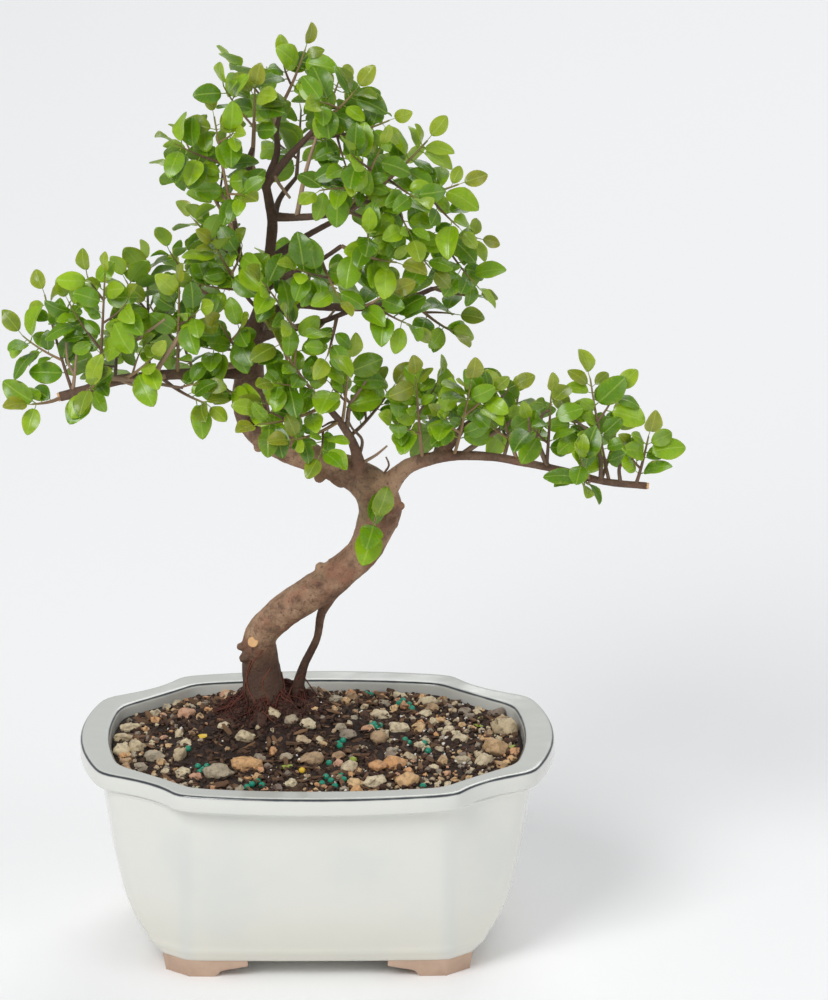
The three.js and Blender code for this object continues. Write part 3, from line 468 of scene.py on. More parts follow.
@dataclass(frozen=True)
class BarkFinish:
    """Smooth brown bark, mottled with tan and red-brown, darker by the soil, and darker in the crown, partly
    its own tone and partly painted shade under the leaves.
    """

    tan: Colour = linear(176, 142, 112)
    brown: Colour = linear(134, 100, 76)
    ruddy: Colour = linear(150, 100, 78)
    dark: Colour = linear(70, 50, 42)
    moss: Colour = linear(112, 110, 66)
    wet: Colour = linear(58, 34, 26)

    def build(self) -> Material:
        """Returns the material."""
        s = Shader("Bark", 0.75)
        place = s.place()
        height = s.axes(place)[2]
        colour = s.blend(s.smooth(s.noise(place, 60.0, 4.0, 0.6), 0.38, 0.62), self.brown, self.tan)
        colour = s.blend(s.times(s.smooth(s.noise(place, 95.0, 3.0), 0.5, 0.7), 0.6), colour, self.ruddy)
        moss = s.smooth(s.noise(place, 45.0, 5.0, 0.65), 0.56, 0.7)
        colour = s.blend(s.times(moss, 0.45), colour, self.moss)
        pores = s.smooth(s.noise(place, 900.0, 2.0), 0.56, 0.72)
        colour = s.blend(s.times(pores, 0.55), colour, self.dark)
        # darker upper trunk: partly the bark's own darker tone, partly painted shade under the leaves
        crown = s.smooth(height, 0.215, 0.27)
        colour = s.blend(s.times(crown, 0.62), colour, self.dark)
        thin = s.times(s.attribute("thin"), 0.6)
        colour = s.blend(thin, colour, self.dark)
        foot = s.less(1.0, s.smooth(s.plus(height, s.times(s.noise(place, 150.0, 3.0), 0.012)), 0.122, 0.142))
        colour = s.blend(s.times(foot, 0.85), colour, self.wet)
        colour = s.blend(s.times(s.attribute("scar"), 0.8), colour, self.dark)
        rough = s.noise(place, 170.0, 6.0, 0.7)
        cracks = s.less(1.0, s.smooth(rough, 0.36, 0.5))
        colour = s.blend(s.times(cracks, 0.5), colour, self.dark)
        s.colour(colour)
        s.bump(s.plus(rough, s.times(s.noise(place, 520.0, 3.0, 0.6), 0.5)), 1.3)
        return s.material


@dataclass(frozen=True)
class CutWoodFinish:
    """Pale wood where a branch was cut off."""

    middle: Colour = linear(236, 196, 140)
    edge: Colour = linear(196, 140, 92)

    def build(self) -> Material:
        """Returns the material."""
        s = Shader("Cut wood", 0.7)
        s.colour(s.blend(s.noise(s.place(), 500.0, 3.0), self.edge, self.middle))
        return s.material


@dataclass(frozen=True)
class TwigFinish:
    """Twigs: brown where they are old, and green to reddish where they are young."""

    old: Colour = linear(104, 78, 60)
    pale: Colour = linear(164, 134, 96)
    young: Colour = linear(140, 140, 62)

    def build(self) -> Material:
        """Returns the material."""
        s = Shader("Twig", 0.6)
        base = s.blend(s.smooth(s.attribute("tint"), 0.35, 0.75), self.old, self.pale)
        base = s.blend(s.smooth(s.attribute("youth"), 0.45, 1.0), base, self.young)
        s.colour(s.blend(s.times(s.noise(s.place(), 800.0, 2.0), 0.5), base, self.old))
        return s.material


@dataclass(frozen=True)
class LeafFinish:
    """Glossy green leaves with a pale midrib, yellower and bronze when young."""

    deep: Colour = linear(72, 108, 8)
    mid: Colour = linear(106, 148, 12)
    bright: Colour = linear(152, 186, 26)
    young: Colour = linear(148, 166, 40)
    bronze: Colour = linear(140, 142, 40)
    rib: Colour = linear(178, 200, 84)
    under: Colour = linear(146, 174, 74)

    def build(self) -> Material:
        """Returns the material."""
        s = Shader("Leaf", 0.3, Specular_IOR_Level=0.5, Subsurface_Weight=0.2,
                   Subsurface_Radius=(0.6, 1.0, 0.15), Subsurface_Scale=0.0012)
        tint = s.attribute("tint")
        youth = s.attribute("youth")
        along, across, side = s.axes(s.attribute("blade", "Vector"))
        green = s.ramp(tint, (0.0, self.deep), (0.5, self.mid), (1.0, self.bright))
        fresh = s.blend(s.smooth(tint, 0.35, 0.75), self.bronze, self.young)
        colour = s.blend(s.smooth(youth, 0.55, 1.0), green, fresh)
        patchy = s.noise(s.place(), 260.0, 3.0)
        colour = s.blend(s.times(s.smooth(patchy, 0.4, 0.7), 0.3), colour, self.deep)
        off_rib = s.math("ABSOLUTE", across)
        slant = s.less(s.times(along, 7.0), s.times(off_rib, 2.2))
        wave = s.math("ABSOLUTE", s.less(s.math("FRACT", slant), 0.5))
        veins = s.less(1.0, s.smooth(wave, 0.03, 0.16))
        rib = s.less(1.0, s.smooth(off_rib, 0.02, 0.09))
        lines = s.math("MAXIMUM", s.times(veins, 0.07), s.times(rib, 0.38))
        colour = s.blend(lines, colour, self.rib)
        below = s.less(1.0, s.smooth(side, -0.5, -0.02))
        s.colour(s.blend(s.times(below, 0.55), colour, self.under))
        s.rough(s.plus(0.16, s.times(s.plus(patchy, below), 0.24)))
        s.bump(s.plus(lines, s.times(patchy, 0.6)), 0.12)
        return s.material


@dataclass(frozen=True)
class SoilFinish:
    """Dark, damp potting mix, bark crumbs and roots: each crumb has a shade of its own."""

    name: str
    dark: Colour
    light: Colour
    grain: float = 700.0
    roughness: float = 0.9
    depth: float = 0.3

    def build(self) -> Material:
        """Returns the material."""
        s = Shader(self.name, self.roughness)
        mixed = s.plus(s.times(s.attribute("tint"), 0.75),
                       s.times(s.noise(s.place(), self.grain, 3.0), 0.35))
        s.colour(s.blend(mixed, self.dark, self.light))
        s.bump(s.noise(s.place(), self.grain, 4.0, 0.6), self.depth)
        return s.material


@dataclass(frozen=True)
class StoneFinish:
    """River gravel: tan, cream, grey, orange and pinkish stones."""

    shades: tuple[tuple[float, Colour], ...] = (
        (0.0, linear(128, 110, 98)), (0.16, linear(172, 160, 138)), (0.32, linear(202, 182, 146)),
        (0.48, linear(220, 204, 170)), (0.62, linear(176, 142, 106)), (0.76, linear(222, 186, 136)),
        (0.88, linear(216, 162, 108)), (1.0, linear(208, 160, 134)))

    def build(self) -> Material:
        """Returns the material."""
        s = Shader("Gravel", 0.62)
        place = s.place()
        base = s.ramp(s.attribute("tint"), *self.shades)
        speck = s.times(s.smooth(s.noise(place, 450.0, 4.0, 0.65), 0.42, 0.72), 0.6)
        s.colour(s.blend(speck, base, linear(96, 84, 72)))
        s.bump(s.noise(place, 350.0, 4.0, 0.6), 0.7)
        return s.material


@dataclass(frozen=True)
class PlainFinish:
    """One even colour, with its roughness and a little grain."""

    name: str
    shade: Colour
    roughness: float = 0.5
    glow: float = 0.0

    def build(self) -> Material:
        """Returns the material."""
        return Shader(self.name, self.roughness, Base_Color=self.shade, Subsurface_Weight=self.glow,
                      Subsurface_Scale=0.001).material


@dataclass(frozen=True)
class Viewpoint:
    """The photograph's camera, whose pixels can also be followed back onto the object."""

    aim: Place = (41.4, 0.0, 197.3)
    distance: float = 4000.0
    elevation: float = 20.04
    turn: float = -0.47
    scale: float = 2.3581
    width: int = 828
    height: int = 1000
    sensor: float = 36.0
    before: float = -200.0

    def axes(self) -> tuple[Vector, Vector, Vector]:
        """Returns the directions to the picture's right, to its top and back to the camera."""
        lift, turn = math.radians(self.elevation), math.radians(self.turn)
        back = Vector((math.sin(turn) * math.cos(lift), -math.cos(turn) * math.cos(lift), math.sin(lift)))
        right = Vector((math.cos(turn), math.sin(turn), 0.0))
        return right, back.cross(right), back

    def spot(self, column: float, row: float, level: float) -> Vector:
        """Follows a pixel down to a level.

        Args:
            column: The pixel's column.
            row: Its row.
            level: The height above the feet, in millimetres.

        Returns:
            The place, in millimetres from the middle of the pot.
        """
        right, up, back = self.axes()
        focal = self.scale * self.distance
        eye = Vector(self.aim) + back * self.distance
        ray = right * ((column - self.width / 2) / focal) - up * ((row - self.height / 2) / focal) - back
        return eye + ray * ((level - eye.z) / ray.z)

    def pixel(self, place: Array) -> Pair:
        """Returns the column and row at which a place is seen."""
        right, up, back = self.axes()
        away = Vector(place) - Vector(self.aim) - back * self.distance
        spread = self.scale * self.distance / -away.dot(back)
        return self.width / 2 + away.dot(right) * spread, self.height / 2 - away.dot(up) * spread

    def beyond(self, column: float, row: float, depth: float) -> Array:
        """Follows a pixel back to a depth.

        Args:
            column: The pixel's column.
            row: Its row.
            depth: How far the place lies behind the middle of the pot, in millimetres.

        Returns:
            The place, in millimetres from the middle of the pot.
        """
        near, far = self.spot(column, row, 500.0), self.spot(column, row, 0.0)
        return np.array(near + (far - near) * ((depth - near.y) / (far.y - near.y)))

    def sight(self, mark: Pair) -> tuple[Array, Vector]:
        """Returns a place before the object on a pixel's line of sight, and the line's direction."""
        start = self.beyond(*mark, self.before)
        return start, Vector(self.beyond(*mark, 0.0) - start).normalized()

    def build(self) -> Object:
        """Makes the camera and sets it as the scene's."""
        camera = bpy.data.cameras.new("Camera")
        camera.sensor_width = self.sensor
        camera.lens = self.scale * self.distance / self.height * self.sensor
        camera.clip_start, camera.clip_end = 0.5, 60.0
        made = placed("Camera", camera)
        back = self.axes()[2]
        made.location = to_frame(Vector(self.aim) + back * self.distance)
        made.rotation_mode = "QUATERNION"
        made.rotation_quaternion = back.to_track_quat("Z", "Y")
        bpy.context.scene.camera = made
        return made


@dataclass(frozen=True)
class Lamp:
    """A soft rectangular lamp that looks at the tree."""

    name: str
    place: Place
    size: float
    power: float
    aim: Place = (0.0, 0.0, 0.2)

    def build(self) -> Object:
        """Makes the lamp."""
        light = bpy.data.lights.new(self.name, "AREA")
        light.shape = "SQUARE"
        light.size = self.size
        light.energy = self.power
        made = placed(self.name, light)
        made.location = self.place
        made.rotation_mode = "QUATERNION"
        made.rotation_quaternion = (Vector(self.aim) - Vector(self.place)).to_track_quat("-Z", "Y")
        return made


@dataclass
class Studio:
    """A plain pale floor under even studio light."""

    floor_reach: float = 30.0
    floor_shade: Colour = (0.98, 0.98, 0.98, 1.0)
    sky_shade: Colour = (0.95, 0.97, 1.0, 1.0)
    sky_strength: float = 0.43
    lamps: tuple[Lamp, ...] = (
        Lamp("Key lamp", (-1.1, -1.6, 1.9), 1.2, 37.0),
        Lamp("Fill lamp", (1.7, -1.3, 1.0), 1.5, 9.5),
        Lamp("Rear lamp", (0.5, 1.7, 1.7), 1.3, 14.0),
    )

    def build(self) -> None:
        """Makes the floor, the sky and the lamps."""
        mesh = bpy.data.meshes.new("Floor")
        reach = self.floor_reach
        corners = [(-reach, -reach, 0.0), (reach, -reach, 0.0), (reach, reach, 0.0), (-reach, reach, 0.0)]
        mesh.from_pydata(corners, [], [(0, 1, 2, 3)])
        floor = placed("Floor", mesh)
        floor.data.materials.append(PlainFinish("Floor", self.floor_shade, 0.9).build())
        floor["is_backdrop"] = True
        world = bpy.data.worlds.new("Sky")
        world.use_nodes = True
        backdrop = world.node_tree.nodes["Background"]
        backdrop.inputs["Color"].default_value = self.sky_shade
        backdrop.inputs["Strength"].default_value = self.sky_strength
        bpy.context.scene.world = world
        for lamp in self.lamps:
            lamp.build()
        bpy.context.scene.view_settings.view_transform = "Standard"


@dataclass(frozen=True)
class Outline:
    """A quarter of a plan outline: its long side, its notched corner and its short side."""

    long: float
    end: Pair
    corner: Pair
    start: Pair
    short: float

    def blend(self, other: "Outline", share: float) -> "Outline":
        """Returns the outline at a share of the way to another one."""
        def pair(one: Pair, two: Pair) -> Pair:
            """Mixes two plan points."""
            return mix(one[0], two[0], share), mix(one[1], two[1], share)
        return Outline(mix(self.long, other.long, share), pair(self.end, other.end),
                       pair(self.corner, other.corner), pair(self.start, other.start),
                       mix(self.short, other.short, share))

    def ring(self, height: float, inset: float = 0.0, steps: int = 14, soft: int = 3) -> Array:
        """Draws the closed outline.

        Args:
            height: Its level.
            inset: How far it is moved inwards.
            steps: Its points on each of a quarter's three stretches.
            soft: How often its corners are eased.

        Returns:
            Its points, counter-clockwise from the middle of the short side at +X.
        """
        stretches = (
            ((self.short, 0.0), (self.short, self.start[1] / 2), self.start),
            (self.start, self.corner, self.end),
            (self.end, (self.end[0] / 2, self.long), (0.0, self.long)),
        )
        share = np.arange(steps)[:, None] / steps
        quarter = np.vstack([
            (1 - share) ** 2 * np.array(a) + 2 * share * (1 - share) * np.array(b) + share ** 2 * np.array(c)
            for a, b, c in stretches])
        half = np.vstack([quarter, [[0.0, self.long]], (quarter[1:] * (-1, 1))[::-1]])
        ring = np.vstack([half, -half])
        for _ in range(soft):
            ring = ring / 2 + (np.roll(ring, 1, 0) + np.roll(ring, -1, 0)) / 4
        edge = np.roll(ring, -1, 0) - np.roll(ring, 1, 0)
        edge /= np.linalg.norm(edge, axis=1)[:, None]
        ring = ring + np.stack([-edge[:, 1], edge[:, 0]], 1) * inset
        return np.column_stack([ring, np.full(len(ring), height)])


RIM = Outline(76.0, (59.5, 70.0), (66.0, 55.0), (92.0, 45.0), 101.5)
NECK = Outline(69.0, (56.0, 64.0), (72.0, 53.5), (88.5, 43.0), 93.0)
BASE = Outline(53.0, (55.0, 52.5), (61.0, 48.0), (66.5, 43.0), 67.0)
MOUTH = Outline(64.5, (53.0, 60.0), (63.0, 50.0), (84.0, 34.0), 88.5)
FLOOR = Outline(45.0, (48.0, 44.5), (55.0, 40.0), (61.0, 34.0), 62.0)


@dataclass(frozen=True)
class Swell:
    """How a wall widens with height, from one outline to another."""

    low: Outline
    high: Outline
    heights: tuple[float, ...]
    shares: tuple[float, ...]

    def at(self, height: float) -> Outline:
        """Returns the outline at a height, eased between the given ones."""
        spread = (self.heights[-1] - self.heights[0]) / 24
        near = [np.interp(height + offset * spread, self.heights, self.shares) for offset in (-1, 0, 1)]
        ends = self.heights[0] + spread, self.heights[-1] - spread
        share = near[1] if not ends[0] < height < ends[1] else sum(near) / 3
        return self.low.blend(self.high, float(share))


OUTER_WALL = Swell(BASE, NECK, (7.5, 12.5, 21.5, 32.0, 52.0, 80.0), (0.0, 0.2, 0.46, 0.66, 0.84, 1.0))
INNER_WALL = Swell(FLOOR, MOUTH, (13.0, 25.0, 48.0, 88.5), (0.0, 0.53, 0.81, 1.0))


def lofted(rings: Sequence[Array], capped: bool = True) -> tuple[Array, list[tuple[int, ...]]]:
    """Joins rings with the same number of points into a skin.

    Args:
        rings: The rings, counter-clockwise seen from the last one.
        capped: Whether both ends are closed by flat faces.

    Returns:
        The points and the faces.
    """
    count = len(rings[0])
    faces: list[tuple[int, ...]] = []
    for row in range(len(rings) - 1):
        for i in range(count):
            a, b = row * count + i, row * count + (i + 1) % count
            faces.append((a, b, b + count, a + count))
    if capped:
        last = (len(rings) - 1) * count
        faces.append(tuple(range(count - 1, -1, -1)))
        faces.append(tuple(range(last, last + count)))
    return np.vstack(rings), faces


@dataclass
class Pot:
    """The glazed pot on its four bare bracket feet, with two drain holes."""

    height: float = 91.0
    base_under: float = 7.5
    floor_top: float = 13.0
    lip_side: float = 84.2
    lip_top: float = 89.4
    outer_round: float = 1.7
    inner_round: float = 1.6
    top_slope: float = 0.4
    bead_height: float = 13.0
    bead_depth: float = 0.7
    bead_reach: float = 1.6
    drain_radius: float = 8.0
    drain_offset: float = 28.0
    foot_thickness: float = 8.0
    foot_taper: float = 1.6
    foot_sink: float = 1.0
    arch: tuple[Pair, ...] = ((0.0, 6.9), (0.1, 5.2), (0.5, 3.9), (0.87, 3.0), (1.0, 0.0))
    front_heel: float = 28.0
    front_toe: float = 43.0
    side_heel: float = 20.0
    side_toe: float = 32.0
    edge_steps: int = 5
    base_inset: float = 0.8
    wall_top: float = 80.0
    wall_rows: int = 46
    neck_rise: float = 2.2
    neck_round: float = 1.6
    neck_squash: float = 0.8
    top_shares: tuple[float, ...] = (0.12, 0.3, 0.5, 0.7, 0.88)
    outer_line: Pair = (0.75, 0.42)
    inner_line: Pair = (0.7, 0.4)
    mouth_under: float = 88.0
    mouth_rows: int = 12
    notch_middle: float = 56.0
    notch_reach: float = 3.0
    notch_from: float = 40.0

    def build(self) -> list[Object]:
        """Makes the glazed body and its feet."""
        body, feet = self.body(), self.feet()
        hand_over(body, Slot.GLAZE, "pot")
        hand_over(feet, Slot.GLAZE)
        return [body, feet]

    def profile(self) -> list[tuple[Array, float, float]]:
        """Returns the body's rings, from the middle of its underside to the floor inside.

        Returns:
            Each ring with how much of the dark edge line and of the painted shade on the rim it bears.
        """
        rings: list[tuple[Array, float, float]] = [
            (BASE.ring(self.base_under, self.foot_thickness + self.foot_taper), 0.0, 0.0),
            (BASE.ring(self.base_under, self.base_inset), 0.0, 0.0),
        ]
        for height in np.linspace(self.base_under + self.base_inset, self.wall_top, self.wall_rows):
            bead = self.bead_depth * math.exp(-((height - self.bead_height) / self.bead_reach) ** 2)
            rings.append((OUTER_WALL.at(height).ring(height, -bead), 0.0, 0.0))
        turns = [math.pi / 2 * step / self.edge_steps for step in range(self.edge_steps + 1)]
        for turn in turns[1:-1]:
            blended = NECK.blend(RIM, (1 - math.cos(turn)) * 0.5)
            rings.append((blended.ring(self.wall_top + self.neck_rise * math.sin(turn)), 0.0, 0.0))
        for turn in turns:
            inset = self.neck_round * (1 - math.sin(turn))
            level = self.lip_side - self.neck_round * math.cos(turn) * self.neck_squash
            rings.append((RIM.ring(level, inset), 0.0, 0.35))
        rings.append((RIM.ring((self.lip_side + self.lip_top) / 2), 0.0, 0.3))
        for turn in turns:
            line = math.exp(-((turn - self.outer_line[0]) / self.outer_line[1]) ** 2)
            inset = self.outer_round * (1 - math.cos(turn))
            level = self.height - self.outer_round * (1 - math.sin(turn))
            rings.append((RIM.ring(level, inset), line, 0.3 + 0.7 * turn / turns[-1]))
        for share in self.top_shares:
            level = self.height - self.top_slope * share
            inset = mix(self.outer_round, -self.inner_round, share)
            rings.append((RIM.blend(MOUTH, share).ring(level, inset), 0.0, 1.0))
        for turn in turns:
            line = math.exp(-((turn - self.inner_line[0]) / self.inner_line[1]) ** 2)
            inset = -self.inner_round * (1 - math.sin(turn))
            level = self.height - self.top_slope - self.inner_round * (1 - math.cos(turn))
            rings.append((MOUTH.ring(level, inset), line, 1.0 - 0.5 * turn / turns[-1]))
        for height in np.linspace(self.mouth_under, self.floor_top, self.mouth_rows):
            rings.append((INNER_WALL.at(height).ring(height), 0.0, 0.4))
        return rings

    def body(self) -> Object:
        """Makes the glazed body, with the drain holes cut through its floor."""
        rings = self.profile()
        points, faces = lofted([ring for ring, _, _ in rings])
        body = new_mesh_object("Pot_body", points, faces)
        count = len(rings[0][0])
        store(body.data, "line", "FLOAT", np.repeat([line for _, line, _ in rings], count))
        # how much painted shade each ring of the rim, the neck under it and the mouth bears
        store(body.data, "lip", "FLOAT", np.repeat([lip for _, _, lip in rings], count))
        aside = (np.abs(points[:, 0]) - self.notch_middle) / self.notch_reach
        corner = np.exp(-aside ** 2) * (np.abs(points[:, 1]) > self.notch_from)
        below = np.clip((82 - points[:, 2]) / 20, 0, 1)
        store(body.data, "pooled", "FLOAT", corner * below * 0.6)
        body.data.materials.append(GlazeFinish().build())
        for side in (-1, 1):
            middle = to_frame((side * self.drain_offset, 0, (self.base_under + self.floor_top) / 2))
            cutter = bpy.data.meshes.new("drain")
            shape = bmesh.new()
            bmesh.ops.create_cone(shape, cap_ends=True, segments=48, radius1=self.drain_radius * MM,
                                  radius2=self.drain_radius * MM, depth=self.floor_top * MM)
            bmesh.ops.translate(shape, vec=middle, verts=shape.verts)
            shape.to_mesh(cutter)
            shape.free()
            hole = placed("drain", cutter)
            cut = body.modifiers.new("drain", "BOOLEAN")
            cut.operation, cut.solver, cut.object = "DIFFERENCE", "EXACT", hole
            baked(body)
            bpy.data.objects.remove(hole)
        body.data.set_sharp_from_angle(angle=math.radians(50))
        return body

    def feet(self) -> Object:
        """Makes the four feet, each a bent wall under the base with an ogee arch at both heels."""
        outer = BASE.ring(0.0, 0.0, steps=24)
        outer = outer[:len(outer) // 4 + 1]
        legs = [p for p in outer if p[0] >= self.front_heel and p[1] >= self.side_heel]
        arch = np.array(self.arch)
        points: list[Point] = []
        faces: list[tuple[int, ...]] = []
        top = self.base_under + self.foot_sink
        for side_x, side_y in ((1, 1), (-1, 1), (-1, -1), (1, -1)):
            first = len(points)
            for i, (x, y, _) in enumerate(legs):
                before, after = legs[max(0, i - 1)], legs[min(len(legs) - 1, i + 1)]
                edge = Vector((after[0] - before[0], after[1] - before[1], 0)).normalized()
                inward = Vector((-edge.y, edge.x, 0))
                front = (x - self.front_heel) / (self.front_toe - self.front_heel)
                side = (y - self.side_heel) / (self.side_toe - self.side_heel)
                level = float(np.interp(min(front, side), arch[:, 0], arch[:, 1]))
                taper = self.foot_taper * (1 - level / top)
                for depth, height in ((taper, level), (0.0, top), (self.foot_thickness, top),
                                      (self.foot_thickness, level)):
                    place = Vector((x, y, height)) + inward * depth
                    points.append((place.x * side_x, place.y * side_y, height))
            turned = side_x * side_y < 0
            loops = [tuple(range(first, first + 4))[::-1], tuple(range(len(points) - 4, len(points)))]
            for i in range(first, len(points) - 4, 4):
                for k in range(4):
                    loops.append((i + k, i + (k + 1) % 4, i + 4 + (k + 1) % 4, i + 4 + k))
            faces.extend(loop[::-1] if turned else loop for loop in loops)
        feet = new_mesh_object("Pot_feet", points, faces)
        shape = bmesh.new()
        shape.from_mesh(feet.data)
        bmesh.ops.recalc_face_normals(shape, faces=shape.faces)
        shape.to_mesh(feet.data)
        shape.free()
        bevel = feet.modifiers.new("worn edges", "BEVEL")
        bevel.width, bevel.segments, bevel.limit_method = 0.5 * MM, 2, "ANGLE"
        bevel.angle_limit = math.radians(40)
        feet.data.materials.append(ClayFinish().build())
        baked(feet)
        feet.data.set_sharp_from_angle(angle=math.radians(45))
        return feet


@dataclass
class DrainScreens:
    """The two plastic screens over the drain holes, as the CAD has them."""

    nodes: tuple[str, ...] = ("drain_screen_left", "drain_screen_right")

    def build(self) -> None:
        """Gives the CAD screens their finish."""
        plastic = PlainFinish("Screen plastic", linear(48, 60, 52), 0.6).build()
        for name in self.nodes:
            dress(name, plastic)


def dress(node: str, material: Material) -> None:
    """Gives a CAD node a material of this scene."""
    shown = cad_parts[node]
    if not shown.material_slots:
        shown.data.materials.append(material)
    for slot in shown.material_slots:
        slot.material = material


class Path:
    """A smooth curve that is measured along its length."""

    divisions = 200
    delta = 1e-4

    def __init__(self, at: Callable[[float], Array]) -> None:
        """Measures a curve that is given as a function of its own parameter."""
        self.at = at
        self.marks = np.linspace(0.0, 1.0, self.divisions + 1)
        places = np.array([at(mark) for mark in self.marks])
        self.lengths = np.concatenate([[0.0], np.cumsum(np.linalg.norm(np.diff(places, axis=0), axis=1))])

    @property
    def length(self) -> float:
        """The curve's length in millimetres."""
        return float(self.lengths[-1])

    def parameter(self, share: float) -> float:
        """Returns the curve's own parameter at a share of its length."""
        return float(np.interp(share * self.length, self.lengths, self.marks))

    def place(self, share: float) -> Array:
        """Returns the place at a share of the length."""
        return self.at(self.parameter(share))

    def tangent(self, share: float) -> Array:
        """Returns the direction at a share of the length."""
        mark = self.parameter(share)
        step = self.at(min(1.0, mark + self.delta)) - self.at(max(0.0, mark - self.delta))
        return step / np.linalg.norm(step)


def bow(start: Array, pull: Array, end: Array) -> Path:
    """Returns a curve from start to end that leans towards a third point."""
    return Path(lambda t: (1 - t) ** 2 * start + 2 * t * (1 - t) * pull + t * t * end)


def unit(vector: Array) -> Array:
    """Returns a vector with length 1."""
    return vector / np.linalg.norm(vector)


@dataclass(frozen=True)
class Limb:
    """A limb's route, as places with radii in millimetres."""

    stops: tuple[Four, ...]

    def path(self) -> Path:
        """Returns the smooth curve through the route's places."""
        places = np.array([stop[:3] for stop in self.stops], float)
        last = len(places) - 1

        def at(mark: float) -> Array:
            """Returns the place at a mark from 0 to 1, by a centripetal spline."""
            whole = min(int(mark * last), last - 1)
            weight = mark * last - whole
            one, two = places[whole], places[whole + 1]
            before = places[whole - 1] if whole > 0 else 2 * places[0] - places[1]
            after = places[whole + 2] if whole + 2 <= last else 2 * places[last] - places[last - 1]
            spans = [math.sqrt(np.linalg.norm(b - a)) for a, b in ((before, one), (one, two), (two, after))]
            leave = ((one - before) / spans[0] - (two - before) / (spans[0] + spans[1])
                     + (two - one) / spans[1]) * spans[1]
            arrive = ((two - one) / spans[1] - (after - one) / (spans[1] + spans[2])
                      + (after - two) / spans[2]) * spans[1]
            square = -3 * one + 3 * two - 2 * leave - arrive
            return one + weight * (leave + weight * (square + weight * (2 * one - 2 * two + leave + arrive)))

        return Path(at)

    def radius(self, path: Path, share: float) -> float:
        """Returns the radius at a share of the limb's length."""
        mark = path.parameter(share) * (len(self.stops) - 1)
        return float(np.interp(mark, range(len(self.stops)), [stop[3] for stop in self.stops]))


TRUNK = Limb((
    (-21, 13, 66, 6.5), (-22, 13, 86, 9.5), (-23, 12, 99, 10.5), (-23, 11, 109, 8.8), (-24, 10, 121, 7.8),
    (-24, 7, 133, 7.2), (-17, 4, 143, 7.2), (-6, 2, 152, 7.3), (5, 1, 160, 7.8), (15, 2, 168, 7.0),
    (21, 3, 175, 7.4), (25, 4, 184, 8.4), (27, 5, 192, 9.4), (24, 6, 200, 8.8), (16, 8, 206, 7.0),
    (0, 10, 212, 6.3), (-15, 12, 219, 6.9), (-25, 13, 227, 7.4), (-28, 14, 237, 8.0), (-28, 14, 247, 6.3),
    (-27, 13, 257, 4.9), (-26, 11, 269, 3.9), (-23, 9, 281, 3.1), (-21, 8, 292, 2.6), (-19, 7, 308, 2.4),
    (-18, 6, 320, 2.3), (-19, 6, 327, 2.2), (-21, 7, 337, 2.0),
))

LIMBS = {
    "trunk": TRUNK,
    "prop": Limb(((8, 1, 157, 3.2), (2, 6, 144, 2.0), (0, 10, 131, 1.7), (-6, 14, 116, 2.1),
                  (-9, 16, 102, 3.2), (-10, 17, 90, 2.2))),
    "lowRight": Limb(((27, 6, 196, 6.0), (34, 4, 207, 3.8), (41, 2, 213, 3.1), (49, 0, 216, 2.7),
                      (61, -2, 218, 2.1), (75, -4, 218, 1.9), (89, -6, 216, 1.8), (105, -8, 213, 1.7),
                      (122, -10, 209, 1.6), (140, -10, 207, 1.6))),
    "stub": Limb(((49, 0, 216, 2.2), (57, 2, 222, 2.2), (62, 4, 228, 1.7), (70, 6, 232, 1.6))),
    "left": Limb(((-28, 14, 251, 4.2), (-38, 8, 252, 2.7), (-52, 1, 254, 2.4), (-70, -8, 256, 2.2),
                  (-85, -11, 255, 2.4), (-96, -13, 252, 2.4), (-108, -14, 249, 2.2))),
    "frontMid": Limb(((19, 7, 205, 3.6), (18, 0, 214, 2.6), (15, -5, 226, 2.0), (10, -9, 236, 1.7),
                      (3, -13, 246, 1.4))),
    "rightMid": Limb(((-25, 11, 273, 3.0), (-11, 20, 278, 2.1), (6, 26, 275, 1.8), (25, 29, 274, 1.7),
                      (38, 29, 277, 1.4), (50, 27, 283, 1.2))),
    "rightLow": Limb(((-26, 11, 266, 2.6), (-13, -4, 275, 1.7), (2, -14, 282, 1.4), (16, -21, 290, 1.2))),
    "midRight": Limb(((-22, 8, 289, 2.1), (-11, -2, 299, 1.5), (1, -12, 308, 1.2), (11, -18, 317, 1.0))),
    "upRight": Limb(((-18, 6, 322, 2.2), (-8, -4, 325, 1.7), (6, -12, 329, 1.4), (20, -17, 336, 1.1))),
    "crownRight": Limb(((-21, 7, 335, 2.0), (-12, 4, 348, 1.7), (-5, 0, 357, 1.4), (4, -4, 368, 1.1))),
    "leader": Limb(((-21, 7, 336, 2.0), (-16, 9, 349, 1.5), (-16, 8, 360, 1.2), (-13, 6, 373, 1.0))),
    "crownLeft": Limb(((-21, 7, 335, 1.9), (-28, 4, 345, 1.4), (-26, 2, 354, 1.1))),
    "leftUp": Limb(((-22, 8, 289, 2.0), (-29, 2, 298, 1.5), (-32, -2, 310, 1.1), (-34, -5, 324, 0.9))),
    "backLow": Limb(((-27, 13, 260, 2.6), (-22, 32, 263, 1.8), (-12, 50, 267, 1.3))),
    "backLeft": Limb(((-26, 11, 270, 2.3), (-36, 27, 273, 1.5), (-46, 40, 276, 1.1))),
    "backUp": Limb(((-18, 6, 319, 1.9), (-15, 24, 324, 1.3), (-8, 38, 329, 1.0))),
    "backRight": Limb(((-20, 7, 302, 2.0), (-4, 22, 308, 1.5), (12, 34, 313, 1.2))),
}
LIMB_PATHS = {name: limb.path() for name, limb in LIMBS.items()}

